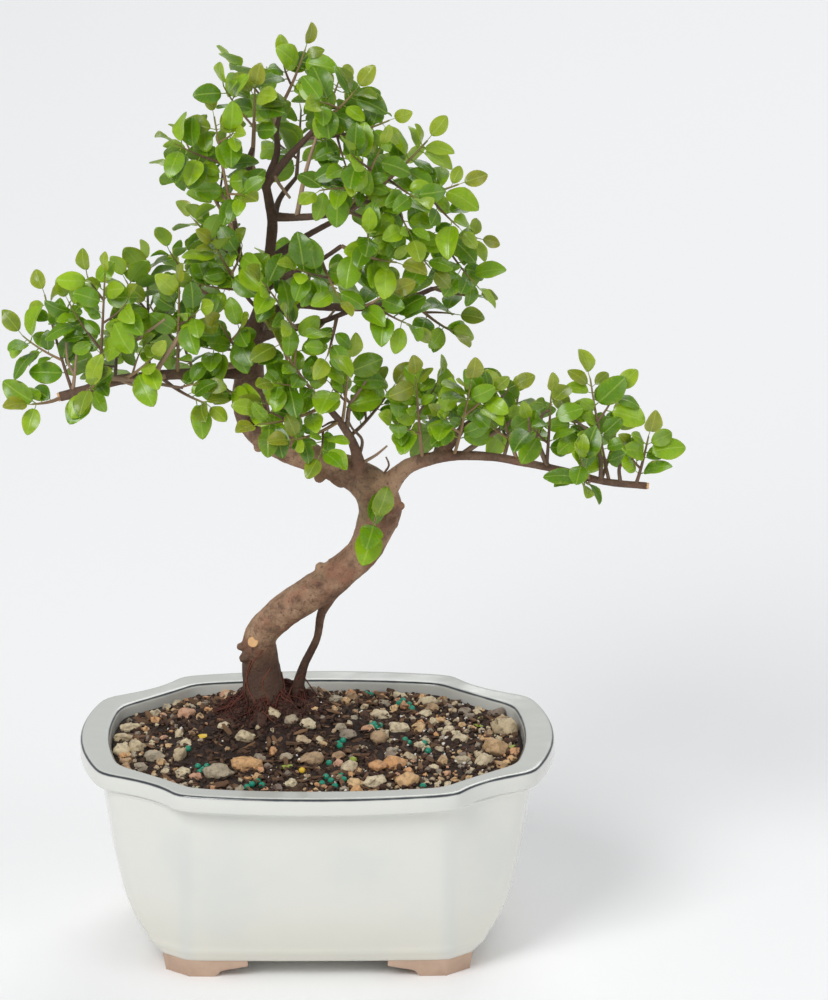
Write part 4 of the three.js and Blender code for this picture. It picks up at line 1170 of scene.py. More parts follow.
ROOTS = (
    Limb(((-22, 12, 104, 6.0), (-33, 6, 99, 3.4), (-42, 1, 91, 2.2), (-48, -2, 82, 1.4))),
    Limb(((-22, 10, 103, 5.5), (-24, -1, 99, 3.2), (-24, -10, 92, 2.0), (-24, -17, 82, 1.3))),
    Limb(((-20, 12, 104, 5.5), (-12, 3, 100, 3.0), (-3, -3, 92, 2.0), (4, -7, 82, 1.3))),
    Limb(((-20, 14, 104, 5.5), (-10, 22, 101, 3.0), (-1, 29, 92, 2.0), (5, 34, 82, 1.3))),
    Limb(((-24, 14, 104, 5.5), (-31, 23, 99, 3.0), (-38, 31, 91, 1.9), (-43, 36, 82, 1.3))),
)


@dataclass
class Lines:
    """Bare lines with a radius at each point, from which a recipe makes tubes."""

    points: list[Point] = field(default_factory=list)
    edges: list[tuple[int, int]] = field(default_factory=list)
    radii: list[float] = field(default_factory=list)
    youth: list[float] = field(default_factory=list)
    tint: list[float] = field(default_factory=list)

    def add(self, places: Sequence[Point], radii: Sequence[float], youth: Sequence[float] | None = None,
            tint: float = 0.5) -> None:
        """Adds one line.

        Args:
            places: Its points in order.
            radii: The tube's radius at each of them, in millimetres.
            youth: How young the wood is at each of them, from 0 to 1.
            tint: The line's shade, from 0 to 1.
        """
        first = len(self.points)
        self.points.extend(tuple(place) for place in places)
        self.edges.extend((first + i, first + i + 1) for i in range(len(places) - 1))
        self.radii.extend(radii)
        self.youth.extend(youth if youth is not None else [0.0] * len(places))
        self.tint.extend([tint] * len(places))

    def build(self, name: str) -> Object:
        """Makes an object of the bare lines with their attributes."""
        made = new_mesh_object(name, self.points, [], self.edges)
        store(made.data, "radius", "FLOAT", np.array(self.radii) * MM)
        store(made.data, "youth", "FLOAT", self.youth)
        store(made.data, "tint", "FLOAT", self.tint)
        return made


def tube_branch(recipe: Recipe, lines: Value, sides: Value) -> Socket:
    """Adds the nodes that turn bare lines into closed tubes.

    Args:
        recipe: The tree that they go into.
        lines: The mesh of bare lines.
        sides: How many sides a tube has.

    Returns:
        The tubes.
    """
    curve = recipe.node("GeometryNodeMeshToCurve", {0: lines}).outputs[0]
    profile = recipe.node("GeometryNodeCurvePrimitiveCircle", {"Resolution": sides, "Radius": 1.0})
    tube = recipe.node("GeometryNodeCurveToMesh", {
        "Curve": curve, "Profile Curve": profile.outputs[0], "Scale": recipe.attribute("radius"),
        "Fill Caps": True})
    return tube.outputs[0]


def tube_recipe() -> Recipe:
    """Returns the tree that makes round tubes of bare lines."""
    recipe = Recipe("Tubes along lines")
    sides = recipe.input("Sides", "Int")
    material = recipe.input("Material", "Material")
    tubes = tube_branch(recipe, recipe.source.outputs[0], sides)
    return recipe.finish(tubes, (material, None))


@dataclass(frozen=True)
class Scar:
    """A healed wound or knot on the trunk: a raised ring round a hollow."""

    place: Place
    reach: float
    ridge: float
    hollow: float


@dataclass
class Tree:
    """Trunk, branches, surface roots and prop root, grown as one."""

    line_step: float = 1.4
    tube_sides: int = 20
    voxel: float = 0.62
    lump_cells: float = 75.0
    lump_height: float = 1.9
    grain_cells: float = 330.0
    grain_height: float = 0.7
    thin_from: float = 4.2
    thin_to: float = 1.6
    thin_calm: float = 0.75
    scar_depth: float = 1.9
    bosses: tuple[tuple[Place, float], ...] = (
        ((-32, 4, 124), 2.4), ((-33.5, 5, 129), 2.0), ((-26, 1.5, 132), 3.4), ((1, 2, 167), 3.0),
        ((6, 1, 169), 2.8), ((-25, 10, 217), 2.0), ((36.6, 2, 194), 2.0), ((33, 0, 186), 3.2),
        ((17, 0, 167), 3.4), ((1, 2, 206), 3.2),
    )
    scars: tuple[Scar, ...] = (
        Scar((1, -5, 161), 3.4, 0.5, 0.9), Scar((9, 1.5, 205), 3.6, 0.6, 0.8),
        Scar((-26, 5.5, 232), 4.0, 0.9, 1.4), Scar((22, -2, 176), 4.0, 0.3, 1.8),
        Scar((31, -2, 190), 2.6, 0.5, 0.7), Scar((16, -1, 200), 3.0, 0.5, 0.6),
        Scar((-8, -5, 153), 2.4, 0.4, 0.5), Scar((-16, 4, 213), 2.6, 0.5, 0.6),
    )
    ease: float = 0.5
    ease_rounds: int = 4
    trunk_samples: int = 120
    boss_profile: tuple[Pair, ...] = ((-2.0, 1.25), (-1.2, 1.1), (-0.5, 0.95), (0.1, 0.75), (0.45, 0.45))
    stretch: Place = (1.0, 1.0, 0.55)
    lump_middle: float = 0.52
    hollow_fall: float = 4.0
    ridge_fall: float = 14.0

    def build(self) -> Object:
        """Makes the wood as one closed skin."""
        lines = Lines()
        for name, limb in [*LIMBS.items(), *((f"root {i}", root) for i, root in enumerate(ROOTS))]:
            path = LIMB_PATHS.get(name) or limb.path()
            shares = np.linspace(0, 1, int(path.length / self.line_step) + 2)
            lines.add([path.place(share) for share in shares], [limb.radius(path, share) for share in shares])
        route = [LIMB_PATHS["trunk"].place(share) for share in np.linspace(0, 1, self.trunk_samples)]
        for middle, radius in self.bosses:
            root = min(route, key=lambda place: np.linalg.norm(place - np.array(middle)))
            outward = unit(np.array(middle) - root)
            lines.add([np.array(middle) + outward * radius * step for step, _ in self.boss_profile],
                      [radius * width for _, width in self.boss_profile])
        wood = lines.build("Tree")
        tube_recipe().apply(wood, Sides=self.tube_sides, Material=None)
        fused = wood.modifiers.new("fused", "REMESH")
        fused.mode, fused.voxel_size, fused.use_smooth_shade = "VOXEL", self.voxel * MM, True
        eased = wood.modifiers.new("eased", "SMOOTH")
        eased.factor, eased.iterations = self.ease, self.ease_rounds
        baked(wood)
        store(wood.data, "thin", "FLOAT", limb_values(wood.data, self.thin_from, self.thin_to))
        self.relief().apply(
            wood, Lump_cells=self.lump_cells, Lump_height=self.lump_height * MM,
            Grain_cells=self.grain_cells, Grain_height=self.grain_height * MM, Material=BarkFinish().build())
        hand_over(wood, Slot.BARK, "trunk")
        return wood

    def relief(self) -> Recipe:
        """Returns the tree of nodes that gives the bark its lumps, wrinkles and scars."""
        r = Recipe("Bark relief")
        lump_cells, lump_height = r.input("Lump cells"), r.input("Lump height")
        grain_cells, grain_height = r.input("Grain cells"), r.input("Grain height")
        material = r.input("Material", "Material")
        place = r.position()
        normal = r.node("GeometryNodeInputNormal").outputs[0]
        drawn = r.vector("MULTIPLY", place, self.stretch)
        lumps = r.times(r.less(r.noise(drawn, lump_cells), self.lump_middle), lump_height)
        grain = r.times(r.less(r.noise(drawn, grain_cells, 3.0, 0.6), 0.5), grain_height)
        height = r.plus(lumps, grain)
        worn: Value = 0.0
        for scar in self.scars:
            apart = r.measure("DISTANCE", place, tuple(to_frame(scar.place)))
            far = r.math("DIVIDE", apart, scar.reach * MM)
            inner = r.bell(far, self.hollow_fall)
            ring = r.bell(r.less(far, 1.0), self.ridge_fall)
            raised = r.times(ring, scar.ridge * self.scar_depth * MM)
            sunk = r.times(inner, scar.hollow * self.scar_depth * MM)
            height = r.plus(height, r.less(raised, sunk))
            worn = r.plus(worn, r.times(r.plus(inner, r.times(ring, 0.4)), 0.8))
        calm = r.less(1.0, r.times(r.attribute("thin"), self.thin_calm))
        offset = r.scaled(normal, r.times(height, calm))
        moved = r.moved(r.source.outputs[0], "Offset", offset)
        return r.finish(r.marked(moved, "scar", worn), (material, None))


def limb_values(mesh: bpy.types.Mesh, none_from: float, full_to: float) -> Array:
    """Finds how thin the limb is that each point of the wood belongs to.

    Args:
        mesh: The wood.
        none_from: The radius from which a limb counts as thick.
        full_to: The radius at which it counts as fully thin.

    Returns:
        A value from 0 to 1 for each point.
    """
    samples: list[tuple[Array, float]] = []
    for name, limb in LIMBS.items():
        path = LIMB_PATHS[name]
        for share in np.linspace(0, 1, int(path.length / 2) + 2):
            samples.append((path.place(share), limb.radius(path, share)))
    tree = KDTree(len(samples))
    for i, (place, _) in enumerate(samples):
        tree.insert(to_frame(place), i)
    tree.balance()
    radii = np.array([samples[tree.find(vertex.co)[1]][1] for vertex in mesh.vertices])
    return np.clip((none_from - radii) / (none_from - full_to), 0, 1)


@dataclass(frozen=True)
class Shoot:
    """A leafy shoot of the CAD: its limb, the share along it, its tip and its side twigs' own tips."""

    limb: str
    share: float
    tip: Place
    twigs: tuple[tuple[float, Place], ...] | None = None


SHOOTS = {
    "left_end": Shoot("left", 0.93, (-114, 2, 289)),
    "left_fan": Shoot("left", 0.8, (-88, -22, 305)),
    "left_mid": Shoot("left", 0.55, (-71, 14, 298)),
    "left_inner": Shoot("left", 0.4, (-57, -18, 299)),
    "left_low": Shoot("left", 0.7, (-69, -26, 270)),
    "left_hang": Shoot("left", 0.5, (-46, -20, 248)),
    "left_rear": Shoot("left", 0.72, (-84, 26, 265)),
    "left_rear_in": Shoot("left", 0.3, (-58, 34, 262)),
    "left_front": Shoot("left", 0.86, (-94, -38, 262)),
    "left_point": Shoot("left", 0.97, (-119, -23, 249)),
    "shoulder": Shoot("trunk", 0.82, (-42, -14, 316)),
    "shoulder_low": Shoot("trunk", 0.745, (-40, -13, 281)),
    "collar": Shoot("trunk", 0.7, (-38, -8, 250)),
    "rise": Shoot("leftUp", 1, (-42, -6, 370), (
        (0.25, (-30, -20, 340)), (0.55, (-58, -18, 362)), (0.75, (-34, -16, 366)))),
    "rise_side": Shoot("leftUp", 0.85, (-54, 14, 352)),
    "wisp": Shoot("leftUp", 0.5, (-51, 14, 318)),
    "apex": Shoot("leader", 1, (-4, 4, 396)),
    "apex_left": Shoot("crownLeft", 1, (-25, -4, 381), ((0.35, (-38, -8, 384)),)),
    "apex_rear": Shoot("leader", 0.62, (-19, 36, 370), ((0.5, (-34, 36, 380)),)),
    "crown_tip": Shoot("crownRight", 1, (17, -8, 382), ((0.4, (2, -18, 380)),)),
    "crown_long": Shoot("crownRight", 0.72, (31, -15, 371), ((0.3, (14, -24, 351)), (0.62, (33, -28, 356)))),
    "crown_rear": Shoot("crownRight", 0.85, (10, 33, 373), ((0.5, (22, 18, 366)),)),
    "up_tip": Shoot("upRight", 0.86, (27, -20, 360), ((0.25, (2, -29, 345)), (0.62, (15, -32, 362)))),
    "up_far": Shoot("upRight", 0.9, (47, -2, 358), ((0.4, (42, -30, 342)),)),
    "up_low": Shoot("upRight", 1, (60, -6, 340), ((0.3, (40, -28, 325)), (0.66, (60, -18, 325)))),
    "far_right": Shoot("upRight", 0.8, (68, 4, 313), (
        (0.2, (30, -14, 309)), (0.45, (48, -14, 306)), (0.72, (67, -9, 297)))),
    "brow": Shoot("midRight", 1, (34, -28, 313), ((0.4, (22, -36, 329)),)),
    "brow_low": Shoot("midRight", 0.75, (10, -32, 299), ((0.4, (-7, -34, 312)),)),
    "mid_end": Shoot("rightMid", 1, (68, 18, 283)),
    "mid_drop": Shoot("rightMid", 0.86, (58, 8, 270)),
    "mid_rear": Shoot("rightMid", 0.7, (38, 48, 276)),
    "low_end": Shoot("rightLow", 1, (30, -24, 298), ((0.45, (40, -24, 284)),)),
    "low_drop": Shoot("rightLow", 0.85, (5, -34, 274)),
    "low_front": Shoot("rightLow", 0.5, (-12, -30, 290), ((0.5, (-22, -32, 306)),)),
    "front_tip": Shoot("frontMid", 1, (-17, -25, 280)),
    "front_low": Shoot("frontMid", 0.96, (-24, -32, 243)),
    "front_hang": Shoot("frontMid", 0.75, (-10, -32, 236)),
    "front_rise": Shoot("frontMid", 0.7, (14, -14, 264)),
    "front_right": Shoot("frontMid", 0.55, (32, 4, 246)),
    "knee": Shoot("trunk", 0.415, (25, -20, 197)),
    "low_near": Shoot("lowRight", 0.22, (42, -17, 258)),
    "low_rise": Shoot("stub", 0.8, (82, 10, 244)),
    "low_spray": Shoot("lowRight", 0.33, (65, -21, 257)),
    "low_mid": Shoot("lowRight", 0.55, (77, -1, 243)),
    "low_bow": Shoot("lowRight", 0.65, (99, -12, 248)),
    "low_rear": Shoot("lowRight", 0.26, (55, 33, 234)),
    "low_back": Shoot("lowRight", 0.5, (86, 28, 234)),
    "end_up": Shoot("lowRight", 0.87, (116, 8, 249)),
    "end_tip": Shoot("lowRight", 0.96, (140, -18, 232)),
    "end_front": Shoot("lowRight", 0.8, (111, -28, 226)),
    "end_rear": Shoot("lowRight", 0.84, (128, 14, 226)),
    "back_low": Shoot("backLow", 1, (4, 66, 272), ((0.3, (-18, 66, 280)), (0.6, (20, 58, 282)))),
    "back_left": Shoot("backLeft", 1, (-58, 56, 282), ((0.3, (-42, 58, 294)), (0.55, (-62, 44, 294)))),
    "back_up": Shoot("backUp", 1, (-6, 50, 355), ((0.25, (-20, 52, 344)), (0.5, (18, 50, 352)))),
    "back_right": Shoot("backRight", 1, (36, 50, 330), ((0.3, (14, 54, 318)), (0.6, (20, 46, 341)))),
}


@dataclass
class Axis:
    """A shoot's stem or one of its side twigs."""

    path: Path
    outlook: Array
    twig: bool
    share: float = 0.0
    root: Array | None = None

    @cached_property
    def track(self) -> Array:
        """The places at even shares of its length."""
        return np.array([self.path.place(share) for share in np.linspace(0, 1, 41)])


@dataclass
class Ball:
    """A ball of wood that other things are kept clear of."""

    centre: Array
    radius: float
    owner: object


@dataclass
class Growth:
    """Grows the shoots' stems and side twigs by the rule of the CAD."""

    stem_radius: float = 1.0
    twig_radius: float = 0.75
    sag: float = 0.1
    seat_start: float = 13.0
    seat_step: float = 0.1
    seat_gap: float = 0.3
    away: float = 0.75
    up: float = 0.6
    sideways: float = 0.3
    rear_from: float = 12.0
    twig_size: float = 0.5
    twig_fade: float = 1.25
    twig_forward: float = 0.72
    twig_sideways: float = 0.66
    twig_outward: float = 0.12
    twig_bow: float = 0.1
    twig_least: float = 9.0
    twig_clear: float = 1.6
    twig_root: float = 4.0
    ball_step: float = 3.0
    stem_corners: Place = (-30, 90, 210)
    sites: tuple[Pair, ...] = ((0.3, 21), (0.56, 32), (0.78, 50))

    def outlook(self, shoot: Shoot) -> Array:
        """Returns the way that a shoot's leaves look."""
        away = -self.away if shoot.tip[1] < self.rear_from else self.away
        sideways = -self.sideways if shoot.tip[0] < TRUNK.stops[2][0] else self.sideways
        return unit(np.array([sideways, away, self.up]))

    def stem(self, shoot: Shoot, bark: BVHTree) -> Axis:
        """Grows one stem from its limb.

        Args:
            shoot: The shoot.
            bark: The CAD tree's skin, which the stem starts just clear of.

        Returns:
            The stem, with the middle of its limb as its root.
        """
        heart = LIMB_PATHS[shoot.limb].place(shoot.share)
        end = np.array(shoot.tip, float)
        pull = (heart + end) / 2 - np.array([0, 0, self.sag * np.linalg.norm(end - heart)])
        away = unit(pull - heart)
        outlook = self.outlook(shoot)
        side = unit(-np.cross(away, outlook))
        rise = np.cross(away, side)
        turns = np.radians(self.stem_corners)
        corners = [side * math.cos(turn) * self.stem_radius + rise * math.sin(turn) * self.stem_radius
                   for turn in turns]
        offsets = [np.zeros(3), *corners, *[(corners[i] + corners[(i + 1) % 3]) / 2 for i in range(3)]]

        def clear(reach: float) -> bool:
            """Tells whether the stem's cut end would be clear of the bark."""
            middle = heart + away * reach
            return all(bark.find_nearest(to_frame(middle + offset))[3] > self.seat_gap * MM
                       for offset in offsets)

        reach = self.seat_start
        while clear(reach - self.seat_step):
            reach -= self.seat_step
        return Axis(bow(heart + away * reach, pull, end), outlook, False, root=heart)

    def side_twig(self, stem: Axis, share: float, hand: int, tip: Place | None) -> Axis:
        """Grows a side twig to a tip of its own, or on one hand of the stem."""
        base, tangent = stem.path.place(share), stem.path.tangent(share)
        right = unit(np.cross(tangent, stem.outlook))
        turn = np.sign(np.dot(np.array(tip) - base, right)) if tip else hand
        size = max(self.twig_least, self.twig_size * stem.path.length * (self.twig_fade - share))
        ruled = base + size * (tangent * self.twig_forward + right * self.twig_sideways * turn
                               + stem.outlook * self.twig_outward)
        end = np.array(tip, float) if tip else ruled
        pull = (base + end) / 2 + right * self.twig_bow * turn * np.linalg.norm(end - base)
        return Axis(bow(base, pull, end), stem.outlook, True, share)

    def balls(self, path: Path, radius: Callable[[float], float], owner: object) -> list[Ball]:
        """Returns balls along a path that stand for its wood."""
        steps = math.ceil(path.length / self.ball_step)
        return [Ball(path.place(i / steps), radius(i / steps), owner) for i in range(steps + 1)]

    def grow(self, bark: BVHTree) -> tuple[dict[str, list[Axis]], list[Ball]]:
        """Grows every shoot.

        Args:
            bark: The CAD tree's skin.

        Returns:
            The axes of each shoot, its stem first, and the balls of all wood.
        """
        wood: list[Ball] = []
        for name, limb in LIMBS.items():
            path = LIMB_PATHS[name]
            wood += self.balls(path, lambda share: limb.radius(path, share), name)
        axes = {name: [self.stem(shoot, bark)] for name, shoot in SHOOTS.items()}
        for stems in axes.values():
            wood += self.balls(stems[0].path, lambda _: self.stem_radius, stems[0])
        for name, shoot in SHOOTS.items():
            stem = axes[name][0]
            ruled = [(share, None) for share, least in self.sites if stem.path.length > least]
            for i, (share, tip) in enumerate(ruled if shoot.twigs is None else shoot.twigs):
                first = -1 if i % 2 == 0 else 1
                for hand in (first,) if tip else (first, -first):
                    twig = self.side_twig(stem, share, hand, tip)
                    own = self.balls(twig.path, lambda _: self.twig_radius, twig)
                    if not self.blocked(own, wood, stem, twig.path.place(0)):
                        axes[name].append(twig)
                        wood += own
                        break
        return axes, wood

    def blocked(self, own: list[Ball], wood: list[Ball], stem: Axis, base: Array) -> bool:
        """Tells whether a twig's balls come too close to other wood."""
        others = [ball for ball in wood
                  if ball.owner is not stem or np.linalg.norm(ball.centre - base) > self.twig_root]
        centres = np.array([ball.centre for ball in others])
        reach = np.array([ball.radius for ball in others]) + self.twig_clear
        return any((np.linalg.norm(centres - ball.centre, axis=1) < reach).any() for ball in own)


@dataclass
class Leaf:
    """One leaf: where its stalk leaves the stem, its own axes and its size."""

    joint: Array
    along: Array
    across: Array
    length: float
    width: float
    youth: float = 0.0
    stalk: float = 2.7
    droop: float = 0.09

    @property
    def normal(self) -> Array:
        """The way that its upper side looks."""
        return np.cross(self.along, self.across)

    @property
    def middle(self) -> Array:
        """The middle of its blade."""
        return self.joint + self.along * (self.stalk + self.length / 2)

    @property
    def tip(self) -> Array:
        """The point of its blade."""
        return self.joint + self.along * (self.stalk + self.length) - self.normal * self.length * self.droop


@dataclass(frozen=True)
class CadBlade:
    """How the CAD draws a blade, so that a leaf can be read back from a shoot's points."""

    thickness: float = 0.65
    near: Pair = (0.22, 0.05)
    far: Pair = (0.66, 0.035)
    far_width: float = 0.88
    stalk: float = 2.7
    merging: float = 0.002
    tolerance: float = 0.03

    def read(self, node: str) -> list[Leaf]:
        """Finds a CAD shoot's leaves.

        Args:
            node: The shoot's name.

        Returns:
            Its leaves, sorted by place.
        """
        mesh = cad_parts[node].data
        keys: dict[tuple[int, ...], int] = {}
        places: list[Array] = []
        merged = []
        for vertex in mesh.vertices:
            place = np.array(to_pot(vertex.co))
            key = tuple(np.round(place / self.merging).astype(int))
            if key not in keys:
                keys[key] = len(places)
                places.append(place)
            merged.append(keys[key])
        near: list[set[int]] = [set() for _ in places]
        for face in mesh.polygons:
            corners = [merged[i] for i in face.vertices]
            for i in corners:
                near[i].update(corner for corner in corners if corner != i)
        found = [self.leaf(tip, near, places) for tip in range(len(places)) if len(near[tip]) == 4]
        return sorted((leaf for leaf in found if leaf), key=lambda leaf: tuple(np.round(leaf.joint, 3)))

    def leaf(self, tip: int, near: list[set[int]], places: list[Array]) -> Leaf | None:
        """Reads the leaf that ends in a point, or nothing if no blade ends there."""
        fore = sorted(near[tip])
        mate = min(fore[1:], key=lambda i: np.linalg.norm(places[i] - places[fore[0]]))
        others = [i for i in fore[1:] if i != mate]
        pairs = [(fore[0], mate), tuple(others)]
        depths = [np.linalg.norm(places[a] - places[b]) for a, b in pairs]
        if any(abs(depth - self.thickness) > self.tolerance for depth in depths):
            return None
        aft = set().union(*(near[i] for i in fore)) - set(fore) - {tip}
        if len(aft) != 4:
            return None
        front = np.mean([places[i] for i in fore], axis=0)
        back = np.mean([places[i] for i in aft], axis=0)
        normal = unit(places[pairs[0][0]] - places[pairs[0][1]])
        normal *= -np.sign(np.dot(places[tip] - front, normal))
        span = self.far[0] - self.near[0]
        drop = self.near[1] - self.far[1]
        length = float(np.linalg.norm(front - back) / math.hypot(span, drop))
        along = unit(front - back + normal * drop * length)
        sides = [(places[a] + places[b]) / 2 for a, b in pairs]
        width = float(np.linalg.norm(sides[0] - sides[1]) / self.far_width)
        joint = back - along * (self.stalk + self.near[0] * length) - normal * self.near[1] * length
        return Leaf(joint, along, np.cross(normal, along), length, width)


class Boxes:
    """Slim boxes round blades, which new leaves are kept clear of."""

    half_length = 0.46
    half_width = 0.4
    half_thickness = 0.45
    bulge = 0.03
    far = 24.0

    def __init__(self, slack: float) -> None:
        """Starts without any, with the room that is kept round each."""
        self.slack = slack
        self.centres: list[Array] = []
        self.axes: list[Array] = []
        self.halves: list[Array] = []

    def box(self, leaf: Leaf) -> tuple[Array, Array, Array]:
        """Returns a leaf's box: its middle, its axes as rows and its half sizes."""
        halves = np.array([leaf.length * self.half_length, leaf.width * self.half_width,
                           self.half_thickness + self.bulge * leaf.length]) + self.slack
        return leaf.middle, np.stack([leaf.along, leaf.across, leaf.normal]), halves

    def add(self, leaf: Leaf) -> None:
        """Keeps a leaf's box."""
        for kept, value in zip((self.centres, self.axes, self.halves), self.box(leaf)):
            kept.append(value)

    def free(self, leaf: Leaf) -> bool:
        """Tells whether a leaf would be clear of every box."""
        centre, axes, halves = self.box(leaf)
        centres = np.array(self.centres)
        near = np.linalg.norm(centres - centre, axis=1) < self.far
        if not near.any():
            return True
        others, sizes = np.array(self.axes)[near], np.array(self.halves)[near]
        turned = others @ axes.T
        size = np.abs(turned)
        apart = (centres[near] - centre) @ axes.T
        clear = (np.abs(apart) > halves + np.einsum("nj,nji->ni", sizes, size)).any(axis=1)
        across = np.einsum("ni,nji->nj", apart, turned)
        clear |= (np.abs(across) > sizes + np.einsum("i,nji->nj", halves, size)).any(axis=1)
        for i in range(3):
            i1, i2 = (i + 1) % 3, (i + 2) % 3
            for j in range(3):
                j1, j2 = (j + 1) % 3, (j + 2) % 3
                gap = np.abs(apart[:, i2] * turned[:, j, i1] - apart[:, i1] * turned[:, j, i2])
                reach = (halves[i1] * size[:, j, i2] + halves[i2] * size[:, j, i1]
                         + sizes[:, j1] * size[:, j2, i] + sizes[:, j2] * size[:, j1, i])
                clear |= gap > reach
        return bool(clear.all())


@dataclass
class Foliage:
    """The leafy shoots: the CAD's leaves in a finer shape, and more of them among those."""

    seed: int = 8
    leaf_length: float = 14.6
    leaf_width: float = 0.7
    spacing: float = 2.8
    first_leaf: float = 0.12
    tries: int = 22
    near_form: float = 10.0
    wood_clear: float = 0.5
    box_slack: float = 0.05
    rim_margin: float = 0.4
    tip_pair_length: Pair = (5.0, 8.5)
    filler_size: Pair = (0.75, 1.12)
    stem_radii: Pair = (0.85, 0.38)
    twig_radii: Pair = (0.6, 0.3)
    tube_sides: int = 6
    blade_stations: tuple[float, ...] = (0.03, 0.1, 0.21, 0.35, 0.5, 0.64, 0.77, 0.88, 0.96)
    blade_thickness: float = 0.16
    airy: frozenset[str] = frozenset({"low_bow", "low_rise", "low_mid", "end_rear"})
    airy_share: float = 0.3
    probe_shares: tuple[float, ...] = (0.1, 0.4, 0.7, 1.0)
    probe_widths: tuple[float, ...] = (0.25, 0.5, 0.45, 0.1)
    probe_fill: float = 0.8
    probe_slim: float = 0.6
    shrink: float = 0.45
    twig_youth: float = 0.8
    on_axis: float = 1.2
    stem_end: float = 0.95
    last_leaf: float = 0.94
    least_gap: float = 1.4
    tip_shares: Pair = (0.99, 0.985)
    opposite: float = 0.01
    tip_swing: Pair = (0.35, 0.75)
    swing: Pair = (0.7, 1.45)
    lift: Pair = (-0.7, 0.9)
    droop: Pair = (0, 0.3)
    face_spread: float = 0.55
    tip_width: Pair = (0.36, 0.46)
    tip_youth: Pair = (0.8, 1.0)
    tip_stalk: float = 0.8
    width_spread: Pair = (0.85, 1.05)
    stalks: Pair = (1.2, 2.4)
    arch: float = 0.31
    hook: float = 0.4
    ripples: float = 9.0
    ripple_shift: float = 40.0
    ripple_height: float = 0.09
    folds: Pair = (-0.15, 0.45)
    curls: Pair = (0.75, 1.2)
    growth: Growth = field(default_factory=Growth)

    def build(self) -> list[Object]:
        """Makes one piece for each CAD shoot."""
        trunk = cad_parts["trunk"]
        axes, wood = self.growth.grow(surface_of(trunk))
        leaves = {name: CadBlade().read(f"shoot_{name}") for name in SHOOTS}
        LOG.info("leaves of the CAD: %d", sum(map(len, leaves.values())))
        self.fill(axes, wood, leaves)
        LOG.info("leaves in all: %d", sum(map(len, leaves.values())))
        recipe = self.recipe()
        blade = self.blade()
        finishes = LeafFinish().build(), TwigFinish().build()
        pieces = [self.piece(name, axes[name], leaves[name], recipe, blade, finishes) for name in SHOOTS]
        bpy.data.objects.remove(blade)
        return pieces

    def fill(self, axes: dict[str, list[Axis]], wood: list[Ball], leaves: dict[str, list[Leaf]]) -> None:
        """Adds leaves where the CAD's leave room, inside the form that those have.

        Args:
            axes: The axes of each shoot.
            wood: The balls of all wood.
            leaves: The CAD's leaves of each shoot, to which the new ones are added.
        """
        draw = np.random.default_rng(self.seed)
        boxes = Boxes(self.box_slack)
        known = [leaf for own in leaves.values() for leaf in own]
        for leaf in known:
            boxes.add(leaf)
        form = KDTree(len(known))
        for i, leaf in enumerate(known):
            form.insert(leaf.middle, i)
        form.balance()
        centres = np.array([ball.centre for ball in wood])
        radii = np.array([ball.radius for ball in wood])
        low, high = (np.array(to_pot(corner)) for corner in CAD_BOX)

        def fits(leaf: Leaf) -> bool:
            """Tells whether a new leaf keeps to the form and touches nothing."""
            above, below = leaf.tip > low + self.rim_margin, leaf.tip < high - self.rim_margin
            inside = above.all() and below.all()
            if not inside or form.find(leaf.middle)[2] > self.near_form or not boxes.free(leaf):
                return False
            shares = np.array(self.probe_shares)[:, None]
            marks = leaf.joint + leaf.along * (leaf.stalk + leaf.length * shares)
            apart = np.linalg.norm(centres[None] - marks[:, None], axis=2)
            widths = leaf.width * np.array(self.probe_widths)[:, None] * self.probe_fill
            return bool((apart > radii + widths * self.probe_slim + self.wood_clear).all())

        for name, own in axes.items():
            for axis in own:
                for share, hand, tip in self.sites(axis, leaves[name]):
                    if name in self.airy and draw.uniform(0, 1) > self.airy_share:
                        continue
                    for attempt in range(self.tries):
                        size = 1 - self.shrink * attempt / self.tries
                        leaf = self.draw_leaf(axis, share, hand, tip, size, draw)
                        if fits(leaf):
                            boxes.add(leaf)
                            leaves[name].append(leaf)
                            break
        for name, own in axes.items():
            for leaf in leaves[name]:
                axis = min(own, key=lambda axis: abs(self.offset(axis, leaf.joint)[1]))
                share = self.offset(axis, leaf.joint)[0]
                leaf.youth = max(leaf.youth, share ** 2 * (self.twig_youth if axis.twig else 1.0))

    @staticmethod
    def offset(axis: Axis, point: Array) -> Pair:
        """Returns the share along an axis that is nearest to a point, and how far it is away."""
        apart = np.linalg.norm(axis.track - point, axis=1)
        best = int(apart.argmin())
        return best / (len(axis.track) - 1), float(apart[best])

    def sites(self, axis: Axis, leaves: list[Leaf]) -> list[tuple[float, int, bool]]:
        """Lists where new leaves may grow on an axis.

        Args:
            axis: The axis.
            leaves: The leaves that its shoot has.

        Returns:
            For each place its share, its hand and whether it is one of the young pair at the tip.
        """
        taken = [(share, leaf) for leaf in leaves
                 for share, apart in [self.offset(axis, leaf.joint)] if apart < self.on_axis]
        found = [(share, hand, True) for share, hand in zip(self.tip_shares, (1, -1))]
        for share, leaf in taken:
            if share < self.stem_end:
                right = np.cross(axis.path.tangent(share), axis.outlook)
                found.append((share, -1 if np.dot(leaf.along, right) > 0 else 1, False))
        count = int(axis.path.length * (1 - self.first_leaf) / self.spacing)
        for i in range(count):
            share = mix(self.first_leaf, self.last_leaf, (i + 0.5) / count)
            if all(abs(share - other) * axis.path.length > self.least_gap for other, _ in taken):
                found += [(share, 1, False), (share + self.opposite, -1, False)]
        return found

